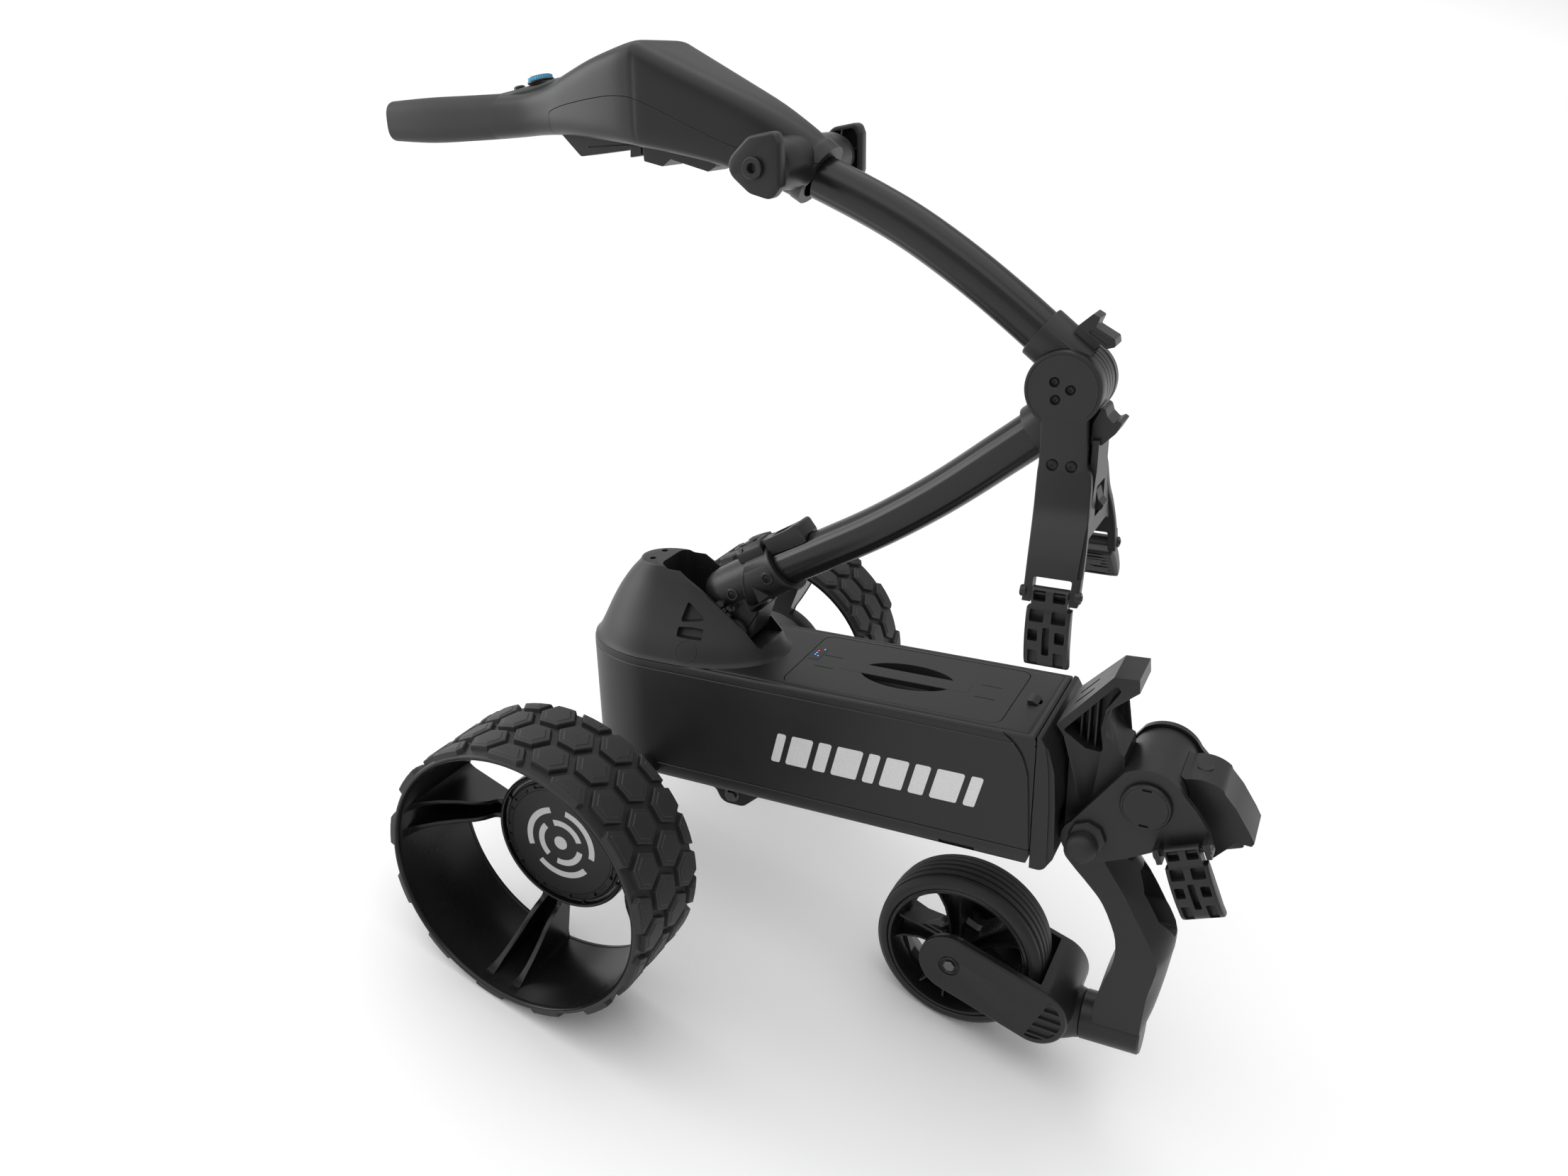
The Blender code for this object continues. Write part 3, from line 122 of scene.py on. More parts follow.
def moulded(name, colour, rough, grain=2600.0, bump=0.06, edge_highlight=0.35, metal=0.0, mottle=0.2,
            shine=0.35):
    """Moulded or painted surface: fine grain, uneven gloss, and edges painted paler as a painted highlight.
    """
    mat, tree, shader = shader_nodes(name)
    link = tree.links.new
    place = add_node(tree, "ShaderNodeTexCoord")
    clouds = add_node(tree, "ShaderNodeTexNoise", in_Scale=14.0, in_Detail=5.0, in_Roughness=0.6)
    fine = add_node(tree, "ShaderNodeTexNoise", in_Scale=grain, in_Detail=2.0, in_Roughness=0.5)
    link(place.outputs["Object"], clouds.inputs["Vector"])
    link(place.outputs["Object"], fine.inputs["Vector"])

    gloss = add_node(tree, "ShaderNodeMapRange")
    gloss.inputs["To Min"].default_value = rough - 0.07
    gloss.inputs["To Max"].default_value = rough + 0.07
    link(clouds.outputs["Fac"], gloss.inputs["Value"])
    link(gloss.outputs["Result"], shader.inputs["Roughness"])

    tone = add_node(tree, "ShaderNodeMix", data_type="RGBA")
    tone.inputs["A"].default_value = (*[c * (1 - mottle) for c in colour], 1)
    tone.inputs["B"].default_value = (*[c * (1 + mottle) for c in colour], 1)
    link(clouds.outputs["Fac"], tone.inputs["Factor"])

    # Painted highlight: the colour turns paler along every rounded edge, where the bevel normal leaves the
    # face normal.
    edge = add_node(tree, "ShaderNodeBevel", samples=4, in_Radius=0.0012)
    shape = add_node(tree, "ShaderNodeNewGeometry")
    facing = add_node(tree, "ShaderNodeVectorMath", operation="DOT_PRODUCT")
    link(edge.outputs["Normal"], facing.inputs[0])
    link(shape.outputs["Normal"], facing.inputs[1])
    highlight_mask = add_node(tree, "ShaderNodeMapRange")
    highlight_mask.inputs["From Min"].default_value = 0.995
    highlight_mask.inputs["From Max"].default_value = 0.80
    highlight_mask.inputs["To Max"].default_value = edge_highlight
    link(facing.outputs["Value"], highlight_mask.inputs["Value"])
    highlighted = add_node(tree, "ShaderNodeMix", data_type="RGBA")
    highlighted.inputs["B"].default_value = (*[min(1.0, c * 2.2 + 0.02) for c in colour], 1)
    link(highlight_mask.outputs["Result"], highlighted.inputs["Factor"])
    link(tone.outputs["Result"], highlighted.inputs["A"])
    link(highlighted.outputs["Result"], shader.inputs["Base Color"])

    relief = add_node(tree, "ShaderNodeBump", in_Strength=bump, in_Distance=0.0004)
    link(fine.outputs["Fac"], relief.inputs["Height"])
    link(relief.outputs["Normal"], shader.inputs["Normal"])
    shader.inputs["Metallic"].default_value = metal
    shader.inputs["Specular IOR Level"].default_value = shine
    return mat


def brushed(name, colour, rough, along=(1.0, 1.0, 60.0)):
    """Metal with fine parallel scratches."""
    mat, tree, shader = shader_nodes(name)
    link = tree.links.new
    place = add_node(tree, "ShaderNodeTexCoord")
    stretch = add_node(tree, "ShaderNodeMapping")
    stretch.inputs["Scale"].default_value = along
    lines = add_node(tree, "ShaderNodeTexNoise", in_Scale=60.0, in_Detail=8.0, in_Roughness=0.7)
    link(place.outputs["Object"], stretch.inputs["Vector"])
    link(stretch.outputs["Vector"], lines.inputs["Vector"])
    gloss = add_node(tree, "ShaderNodeMapRange")
    gloss.inputs["To Min"].default_value = rough - 0.10
    gloss.inputs["To Max"].default_value = rough + 0.12
    link(lines.outputs["Fac"], gloss.inputs["Value"])
    link(gloss.outputs["Result"], shader.inputs["Roughness"])
    relief = add_node(tree, "ShaderNodeBump", in_Strength=0.08, in_Distance=0.0003)
    link(lines.outputs["Fac"], relief.inputs["Height"])
    link(relief.outputs["Normal"], shader.inputs["Normal"])
    shader.inputs["Base Color"].default_value = (*colour, 1)
    shader.inputs["Metallic"].default_value = 1.0
    return mat


def speckled(name, colour):
    """Silver print with a fine metal flake."""
    mat, tree, shader = shader_nodes(name)
    link = tree.links.new
    place = add_node(tree, "ShaderNodeTexCoord")
    flake = add_node(tree, "ShaderNodeTexVoronoi", in_Scale=1400.0)
    link(place.outputs["Object"], flake.inputs["Vector"])
    tone = add_node(tree, "ShaderNodeMix", data_type="RGBA")
    tone.inputs["A"].default_value = (*[c * 0.80 for c in colour], 1)
    tone.inputs["B"].default_value = (*[min(1.0, c * 1.15) for c in colour], 1)
    link(flake.outputs["Distance"], tone.inputs["Factor"])
    link(tone.outputs["Result"], shader.inputs["Base Color"])
    shader.inputs["Roughness"].default_value = 0.5
    shader.inputs["Metallic"].default_value = 0.2
    return mat


def glowing(name, colour, strength):
    mat, tree, shader = shader_nodes(name)
    haze = add_node(tree, "ShaderNodeTexNoise", in_Scale=900.0)
    gloss = add_node(tree, "ShaderNodeMapRange")
    gloss.inputs["To Min"].default_value = 0.15
    gloss.inputs["To Max"].default_value = 0.35
    tree.links.new(haze.outputs["Fac"], gloss.inputs["Value"])
    tree.links.new(gloss.outputs["Result"], shader.inputs["Roughness"])
    shader.inputs["Base Color"].default_value = (*colour, 1)
    shader.inputs["Emission Color"].default_value = (*colour, 1)
    shader.inputs["Emission Strength"].default_value = strength
    return mat


# Every moulded look paints its edges paler by its own amount: a painted highlight.
LOOK = {
    "housing": moulded("housing plastic", (0.0105, 0.0105, 0.0109), 0.40),
    "casting": moulded("glass filled plastic", (0.0120, 0.0120, 0.0124), 0.38, grain=2200.0,
                       bump=0.09),
    "tube": moulded("anodised tube", (0.0105, 0.0105, 0.0109), 0.27, grain=4200.0, bump=0.03,
                    metal=0.30, mottle=0.12, shine=0.5),
    "tread": moulded("tyre tread", (0.0150, 0.0150, 0.0153), 0.52, grain=1500.0, bump=0.14,
                     edge_highlight=0.5),
    "gloss": moulded("wheel plastic", (0.0070, 0.0071, 0.0074), 0.28, grain=3600.0, bump=0.04),
    "rubber": moulded("soft rubber", (0.0150, 0.0150, 0.0153), 0.56, grain=1700.0, bump=0.16,
                      edge_highlight=0.3),
    "blue": moulded("blue plastic", (0.070, 0.350, 0.560), 0.42, mottle=0.08),
    "dark": moulded("recess", (0.0040, 0.0040, 0.0042), 0.75, edge_highlight=0.0),
    "steel": brushed("zinc plated steel", (0.13, 0.13, 0.135), 0.34),
    "black steel": moulded("blackened screw", (0.0160, 0.0160, 0.0165), 0.30, metal=0.6),
    "silver": speckled("silver print", (0.62, 0.62, 0.62)),
    "board": moulded("battery wrap", (0.030, 0.036, 0.050), 0.5),
}


# ------------------------------------------------------------------- shaping
def arc(cx, cy, radius, start, stop, steps):
    """Points on an arc, angles in degrees."""
    points = []
    for i in range(steps + 1):
        angle = math.radians(start + (stop - start) * i / steps)
        points.append((cx + radius * math.cos(angle), cy + radius * math.sin(angle)))
    return points


def rounded(corners, radius, steps=5):
    """A closed outline with each corner turned into an arc of this radius."""
    outline = []
    count = len(corners)
    for i, corner in enumerate(corners):
        here = Vector(corner[:2])
        size = corner[2] if len(corner) > 2 else radius
        before = Vector(corners[i - 1][:2]) - here
        after = Vector(corners[(i + 1) % count][:2]) - here
        if size <= 0:
            outline.append(tuple(here))
            continue
        half = before.angle(after) / 2
        reach = min(size / math.tan(half), before.length * 0.49, after.length * 0.49)
        size = reach * math.tan(half)
        centre = here + (before.normalized() + after.normalized()).normalized() * (
            size / math.sin(half))
        first = here + before.normalized() * reach - centre
        turn = first.angle_signed(here + after.normalized() * reach - centre)
        for k in range(steps + 1):
            spin = Matrix.Rotation(-turn * k / steps, 2)
            outline.append(tuple(centre + spin @ first))
    return outline


def curve_through(knots, steps):
    """A smooth run of points, of any number of coordinates, through the knots."""
    points = []
    last = len(knots) - 1
    for i in range(last):
        rows = [Vector(knots[min(max(i + k, 0), last)]) for k in (-1, 0, 1, 2)]
        for k in range(steps):
            t = k / steps
            points.append(0.5 * (2 * rows[1] + (rows[2] - rows[0]) * t
                                 + (2 * rows[0] - 5 * rows[1] + 4 * rows[2] - rows[3]) * t ** 2
                                 + (3 * rows[1] - rows[0] - 3 * rows[2] + rows[3]) * t ** 3))
    points.append(Vector(knots[-1]))
    return points


def new_mesh(name, bm):
    bmesh.ops.recalc_face_normals(bm, faces=bm.faces)
    mesh = bpy.data.meshes.new(name)
    bm.to_mesh(mesh)
    bm.free()
    obj = bpy.data.objects.new(name, mesh)
    bpy.context.scene.collection.objects.link(obj)
    return obj


def lay(point, level, plane):
    u, v = point
    if plane == "xy":
        return Vector((u, v, level))
    if plane == "xz":
        return Vector((u, level, v))
    return Vector((level, u, v))


def prism(name, outline, low, high, plane="xz"):
    """Extrude a closed outline between two levels of its plane."""
    bm = bmesh.new()
    base = [bm.verts.new(lay(p, low, plane)) for p in outline]
    face = bm.faces.new(base)
    grown = bmesh.ops.extrude_face_region(bm, geom=[face])
    tops = [g for g in grown["geom"] if isinstance(g, bmesh.types.BMVert)]
    bmesh.ops.translate(bm, verts=tops, vec=lay((0, 0), high - low, plane))
    return new_mesh(name, bm)


def slab(name, outline, origin, u, v, depth):
    """Extrude an outline drawn on two directions from an origin, along their normal."""
    u, v = Vector(u).normalized(), Vector(v).normalized()
    out = u.cross(v)
    bm = bmesh.new()
    base = [bm.verts.new(Vector(origin) + u * a + v * b) for a, b in outline]
    face = bm.faces.new(base)
    grown = bmesh.ops.extrude_face_region(bm, geom=[face])
    tops = [g for g in grown["geom"] if isinstance(g, bmesh.types.BMVert)]
    bmesh.ops.translate(bm, verts=tops, vec=out * depth)
    return new_mesh(name, bm)


def block(name, low, high):
    outline = [(low[0], low[1]), (high[0], low[1]), (high[0], high[1]), (low[0], high[1])]
    return prism(name, outline, low[2], high[2], "xy")


def lathe(name, profile, centre, axis, steps=64):
    """Spin a profile of (radius, distance along the axis) into a solid of revolution."""
    direction = Vector(axis).normalized()
    side = direction.orthogonal().normalized()
    bm = bmesh.new()
    ring = [bm.verts.new(Vector(centre) + side * r + direction * t) for r, t in profile]
    edges = [bm.edges.new(pair) for pair in zip(ring, ring[1:])]
    if min(r for r, t in profile) > 0:
        edges.append(bm.edges.new((ring[-1], ring[0])))
    bmesh.ops.spin(bm, geom=ring + edges, cent=centre, axis=direction, angle=math.tau,
                   steps=steps, use_merge=True)
    bmesh.ops.remove_doubles(bm, verts=bm.verts, dist=1e-6)
    return new_mesh(name, bm)


def rod(name, start, end, radius, steps=32):
    along = Vector(end) - Vector(start)
    profile = [(0, 0), (radius, 0), (radius, along.length), (0, along.length)]
    return lathe(name, profile, start, along, steps)


def loft(name, sections):
    """Skin a row of closed sections, all with the same number of points."""
    bm = bmesh.new()
    rings = [[bm.verts.new(p) for p in section] for section in sections]
    for near, far in zip(rings, rings[1:]):
        for i in range(len(near)):
            k = (i + 1) % len(near)
            bm.faces.new((near[i], near[k], far[k], far[i]))
    bm.faces.new(rings[0])
    bm.faces.new(rings[-1])
    return new_mesh(name, bm)


def settle(obj):
    """Put the effect of the modifiers into the mesh itself."""
    bpy.context.view_layer.update()
    graph = bpy.context.evaluated_depsgraph_get()
    mesh = bpy.data.meshes.new_from_object(obj.evaluated_get(graph))
    obj.modifiers.clear()
    old = obj.data
    obj.data = mesh
    bpy.data.meshes.remove(old)
    return obj


def boolean(obj, others, operation):
    for other in others:
        step = obj.modifiers.new(operation.lower(), "BOOLEAN")
        step.object = other
        step.operation = operation
        step.solver = "EXACT"
    settle(obj)
    for other in others:
        bpy.data.objects.remove(other)
    return obj


def cut(obj, *cutters):
    return boolean(obj, cutters, "DIFFERENCE")


def join(obj, *pieces):
    return boolean(obj, pieces, "UNION")


def soften(obj, width, segments=3, angle=32):
    """Round the edges sharper than an angle, and keep the flats flat."""
    weld = obj.modifiers.new("weld", "WELD")
    weld.merge_threshold = 2e-6
    bevel = obj.modifiers.new("soften", "BEVEL")
    bevel.width = width
    bevel.segments = segments
    bevel.limit_method = "ANGLE"
    bevel.angle_limit = math.radians(angle)
    bevel.harden_normals = True
    bevel.use_clamp_overlap = True
    return obj


def dress(obj, look, body, *nodes, slot=None, sharp=38):
    """Give a finished shape its material, its place, and the body it rides on."""
    obj.data.materials.clear()
    obj.data.materials.append(LOOK[look] if isinstance(look, str) else look)
    obj.data.shade_smooth()
    if sharp:
        obj.data.set_sharp_from_angle(angle=math.radians(sharp))
    obj.data.transform(TROLLEY)
    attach(obj, body)
    if nodes:
        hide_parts(*nodes)
    return obj


def screw(name, at, axis, radius, body, look="black steel", depth=0.0022):
    """Button-head screw with a hexagon socket."""
    axis = Vector(axis).normalized()
    profile = [(0, 0), (radius, 0), (radius, depth * 0.35)]
    profile += [(radius * math.cos(a), depth * (0.35 + 0.65 * math.sin(a)))
                for a in (0.4, 0.8, 1.15)] + [(0, depth)]
    head = lathe(name, profile, at, axis, 24)
    side = axis.orthogonal().normalized()
    hexagon = arc(0, 0, radius * 0.46, 0, 300, 5)
    cut(head, slab(name + "_socket", hexagon, Vector(at) + axis * depth * 0.35, side,
                   axis.cross(side), 0.01))
    return dress(head, look, body, sharp=30)


# --------------------------------------------------------------- drive wheels
def clip_polygon(points, low, high):
    """Keep the part of a polygon whose second coordinate lies between two values."""
    for limit, sign in ((low, 1), (high, -1)):
        kept = []
        for i, here in enumerate(points):
            before = points[i - 1]
            inside = sign * (here[1] - limit) >= 0
            was_inside = sign * (before[1] - limit) >= 0
            if inside != was_inside:
                t = (limit - before[1]) / (here[1] - before[1])
                kept.append((before[0] + t * (here[0] - before[0]), limit))
            if inside:
                kept.append(here)
        points = kept
    return points


def inset_polygon(points, amount):
    """Shrink a convex polygon by moving each side inwards."""
    centre = Vector((sum(p[0] for p in points), sum(p[1] for p in points))) / len(points)
    result = []
    count = len(points)
    for i in range(count):
        a, b, c = (Vector(points[(i + k) % count]) for k in (-1, 0, 1))
        n1, n2 = [Vector((-(q - p).y, (q - p).x)).normalized() for p, q in ((a, b), (b, c))]
        if n1.dot(centre - b) < 0:
            n1 = -n1
        if n2.dot(centre - b) < 0:
            n2 = -n2
        mid = (n1 + n2).normalized()
        result.append(b + mid * (amount / max(0.3, mid.dot(n1))))
    return result


def tread_block(bm, side, angle, middle):
    """One raised hexagon of the tread, with a second, smaller step on top."""
    corner = (TREAD_PITCH - 0.0062) / math.sqrt(3)
    shape = [(corner * math.cos(math.radians(60 * k)),
              middle + corner * math.sin(math.radians(60 * k))) for k in range(6)]
    shape = clip_polygon(shape, WHEEL_IN + 0.0006, WHEEL_OUT - 0.0006)
    if len(shape) < 3 or max(p[1] for p in shape) - min(p[1] for p in shape) < 0.006:
        return
    levels = ((0.0, TREAD_BASE - 0.0006), (0.0011, TREAD_TOP - 0.0017), (0.0019, TREAD_TOP - 0.0009),
              (0.0052, TREAD_TOP - 0.0009), (0.0060, TREAD_TOP - 0.0002))
    rings = []
    for inset, radius in levels:
        ring = []
        points = inset_polygon(shape, inset)
        for i, here in enumerate(points):
            there = points[(i + 1) % len(points)]
            for k in range(3):
                t = k / 3
                c = here[0] + (there[0] - here[0]) * t
                y = here[1] + (there[1] - here[1]) * t
                turn = math.radians(angle) + c / TREAD_BASE
                ring.append(bm.verts.new((radius * math.cos(turn), side * y,
                                          radius * math.sin(turn))))
        rings.append(ring)
    for near, far in zip(rings, rings[1:]):
        for i in range(len(near)):
            k = (i + 1) % len(near)
            bm.faces.new((near[i], near[k], far[k], far[i]))
    turn = math.radians(angle)
    spot = sum(p[1] for p in shape) / len(shape)
    top = bm.verts.new(((TREAD_TOP - 0.0002) * math.cos(turn), side * spot,
                        (TREAD_TOP - 0.0002) * math.sin(turn)))
    for i in range(len(rings[-1])):
        bm.faces.new((rings[-1][i], rings[-1][(i + 1) % len(rings[-1])], top))
    bm.faces.new(rings[0])


def drive_tyre(side, hand, body):
    band = lathe("drive_tyre_" + hand, [
        (RIM_OUT, WHEEL_OUT - 0.0008), (RIM_OUT, WHEEL_IN + 0.0008), (0.1362, WHEEL_IN),
        (0.1376, WHEEL_IN), (TREAD_BASE, WHEEL_IN + 0.0014), (TREAD_BASE, WHEEL_OUT - 0.0014),
        (0.1376, WHEEL_OUT), (0.1362, WHEEL_OUT)], (0, 0, 0), (0, side, 0), 144)
    bm = bmesh.new()
    bm.from_mesh(band.data)
    for column in range(TREAD_COLUMNS):
        first = 0.2170 if column % 2 else 0.2370
        for row in range(3):
            tread_block(bm, side, 3.3 + 360 / TREAD_COLUMNS * column, first + TREAD_PITCH * row)
    bm.to_mesh(band.data)
    bm.free()
    dress(band, "tread", body, "drive_tyre_" + hand, sharp=25)


def rib(name, side, angle):
    """One radial web of a spoke: shallow at the hub, deep and flared at the rim."""
    front = [(0.0715, 0.2370), (0.0760, 0.2385), (0.0805, 0.2420), (0.0850, 0.2510),
             (0.0940, 0.2618), (0.1030, 0.2695), (0.1114, 0.2780), (0.1180, 0.2850),
             (0.1244, 0.2940), (0.1290, 0.3020), (0.1318, 0.3095), (0.1342, 0.3150)]
    outwards = Vector((math.cos(angle), 0, math.sin(angle)))
    across = Vector((-math.sin(angle), 0, math.cos(angle)))
    sections = []
    for r, y in curve_through(front, 2):
        flare = 0.0030 * max(0.0, (r - 0.122) / 0.012) ** 2 + 0.0022 * max(
            0.0, (0.083 - r) / 0.012) ** 2
        half = 0.0017 + flare
        crest = half + 0.0008
        section = []
        for a, b in ((-half, WHEEL_IN + 0.0015), (half, WHEEL_IN + 0.0015), (half, y - 0.0022),
                     (crest, y - 0.0012), (crest, y - 0.0004), (crest - 0.0006, y),
                     (0.0006 - crest, y), (-crest, y - 0.0004), (-crest, y - 0.0012),
                     (-half, y - 0.0022)):
            section.append(outwards * r + across * a + Vector((0, side * b, 0)))
        sections.append(section)
    return loft(name, sections)


def drive_rim(side, hand, body):
    axis, middle = (0, side, 0), (0, 0, 0)
    wall = [(RIM_OUT - 0.0002, WHEEL_OUT - 0.0012), (RIM_OUT - 0.0002, WHEEL_IN + 0.0006),
            (RIM_IN - 0.0006, WHEEL_IN + 0.0002), (RIM_IN - 0.0006, WHEEL_IN + 0.0030),
            (RIM_IN, WHEEL_IN + 0.0040), (RIM_IN, WHEEL_OUT - 0.0050),
            (RIM_IN + 0.0004, WHEEL_OUT - 0.0020), (RIM_IN + 0.0013, WHEEL_OUT - 0.0004)]
    drum = lathe("drive_rim_" + hand, wall, middle, axis, 128)
    cup = [(0.0700, WHEEL_IN + 0.0012), (HUB_R, WHEEL_IN + 0.0012)]
    cup += [(HUB_R, HUB_FACE - 0.0024), (HUB_R - 0.0006, HUB_FACE - 0.0008),
            (HUB_R - 0.0020, HUB_FACE), (HUB_R - 0.0034, HUB_FACE - 0.0006),
            (HUB_R - 0.0042, HUB_FACE - 0.0020), (HUB_R - 0.0044, HUB_FACE - 0.0050),
            (HUB_R - 0.0072, HUB_FACE - 0.0052), (HUB_R - 0.0076, HUB_FACE - 0.0030),
            (HUB_R - 0.0090, HUB_FACE - 0.0026), (0, HUB_FACE - 0.0026), (0, HUB_FACE - 0.0060),
            (0.0700, HUB_FACE - 0.0060)]
    join(drum, lathe("cup", cup, middle, axis, 96))
    for k, centre in enumerate(SPOKE_ANGLES):
        parts = []
        for turn in (-RIB_TURN, RIB_TURN):
            parts.append(rib("rib", side, math.radians(centre + turn)))
        edge = [math.radians(centre + turn) for turn in (-RIB_TURN, 0, RIB_TURN)]
        outline = [(0.0745 * math.cos(a), 0.0745 * math.sin(a)) for a in edge]
        outline += [(0.1338 * math.cos(a), 0.1338 * math.sin(a)) for a in reversed(edge)]
        levels = sorted((side * (WHEEL_IN + 0.0016), side * (WHEEL_IN + 0.0056)))
        parts.append(prism("web", outline, *levels))
        join(drum, *parts)
    dress(drum, "gloss", body, "drive_rim_" + hand, sharp=30)

    face = HUB_FACE - 0.0022
    disc = lathe("hub_cap_" + hand, [(0, face), (0.0560, face), (0.0656, face), (0.0660, face + 0.0004),
                                     (0.0660, face + 0.0020), (0.0652, face + 0.0027),
                                     (0.0590, face + 0.0028), (0.0584, face + 0.0032),
                                     (0, face + 0.0032)], middle, axis, 96)
    slots = []
    for k in range(12):
        start = 30 * k + 4
        outline = arc(0, 0, 0.0642, start, start + 21, 6) + arc(0, 0, 0.0610, start + 21, start, 6)
        levels = sorted((side * (face + 0.0012), side * (face + 0.01)))
        slots.append(prism("slot", outline, *levels))
    cut(disc, *slots)
    soften(disc, 0.0003, 2)
    dress(disc, "housing", body, "hub_cap_" + hand)

    clips = []
    for centre in (15, 60, 105, 150, 195, 240, 285, 330):
        a = math.radians(centre)
        outwards = Vector((math.cos(a), 0, math.sin(a)))
        across = Vector((-math.sin(a), 0, math.cos(a)))
        outline = [(0.0672, -0.0016), (0.0716, -0.0016), (0.0716, 0.0016), (0.0672, 0.0016)]
        level = Vector((0, side * (HUB_FACE - 0.0054), 0))
        clip = slab("hub_clip_%s_%d" % (hand, centre), outline, level, outwards, across,
                    -side * 0.0034)
        clips.append(clip)
    join(clips[0], *clips[1:])
    soften(clips[0], 0.0003, 2)
    dress(clips[0], "gloss", body)

    mark = hub_mark(side, hand, face + 0.0032)
    dress(mark, "silver", body)


def hub_mark(side, hand, level):
    """Plain silver badge on the hub: three rings of short bars, no letters."""
    parts = []
    levels = sorted((side * level, side * (level + 0.00025)))
    for k in range(3):
        start = 90 + 120 * k + 14
        outline = arc(0, 0, 0.0400, start, start + 92, 16) + arc(0, 0, 0.0335, start + 92, start, 16)
        parts.append(prism("mark_%s_%d" % (hand, k), outline, *levels))
        start += 30
        outline = arc(0, 0, 0.0260, start, start + 92, 12) + arc(0, 0, 0.0195, start + 92, start, 12)
        parts.append(prism("mark_in_%s_%d" % (hand, k), outline, *levels))
    parts.append(prism("mark_dot_" + hand, arc(0, 0, 0.0075, 0, 345, 23), *levels))
    join(parts[0], *parts[1:])
    parts[0].name = "hub_badge_" + hand
    return parts[0]


for side, hand in ((-1, "right"), (1, "left")):
    drive_tyre(side, hand, "drive_wheel_" + hand)
    drive_rim(side, hand, "drive_wheel_" + hand)
    reach = sorted((side * (BODY_HALF + 0.0006), side * (WHEEL_IN + 0.0008)))
    shaft = lathe("axle_sleeve_" + hand, [(0, reach[0]), (0.0125, reach[0]), (0.0125, reach[1]),
                                          (0, reach[1])], (0, 0, 0), (0, 1, 0), 40)
    soften(shaft, 0.0008, 2)
    dress(shaft, "tube", "chassis")
dress_axle = frame["nodes"]["axle_tube"]
dress_axle.data.materials.clear()
dress_axle.data.materials.append(LOOK["tube"])
for name in ("hub_motor_left", "hub_motor_right"):
    frame["nodes"][name].data.materials.clear()
    frame["nodes"][name].data.materials.append(LOOK["steel"])


# ----------------------------------------------------------------------- body
def plan(inset, front, steps=48):
    """The housing seen from above: a rounded tail and straight sides."""
    half = BODY_HALF - inset
    tail = BODY_TAIL - inset
    points = [(front - inset, -half), (front - inset, half)]
    for i in range(steps + 1):
        angle = math.radians(90 + 180 * i / steps)
        points.append((tail * math.cos(angle), half * math.sin(angle)))
    return points


def stack(name, rows, front):
    """A solid built of the housing's plan at several heights: rows of (inset, height)."""
    return loft(name, [[Vector((x, y, z)) for x, y in plan(inset, front)] for inset, z in rows])


SIDE_EDGE = [(0.3790, 0.1330), (0.3900, 0.1300), (0.4040, 0.1210), (0.4140, 0.1080),
             (0.4195, 0.0920), (0.4215, 0.0780), (0.4262, 0.0000), (0.4250, -0.0160)]


def beyond_side(shift):
    """The region ahead of the side panel's curved front edge, moved forward by a shift."""
    edge = [(x + shift, z + shift * 0.4) for x, z in curve_through(SIDE_EDGE, 5)]
    return edge + [(0.50, -0.0200), (0.50, 0.1700), (edge[0][0], 0.1700)]


def side_groove(first, second, depth, name):
    """A groove of even width that follows the side panel's front edge, on both sides."""
    cutters = []
    near = [(x + first, z + first * 0.4) for x, z in curve_through(SIDE_EDGE, 5)]
    far = [(x + second, z + second * 0.4) for x, z in curve_through(SIDE_EDGE, 5)]
    for side in (-1, 1):
        low, high = sorted((side * (BODY_HALF - depth), side * 0.09))
        cutters.append(prism(name, near + far[::-1], low, high))
    return cutters


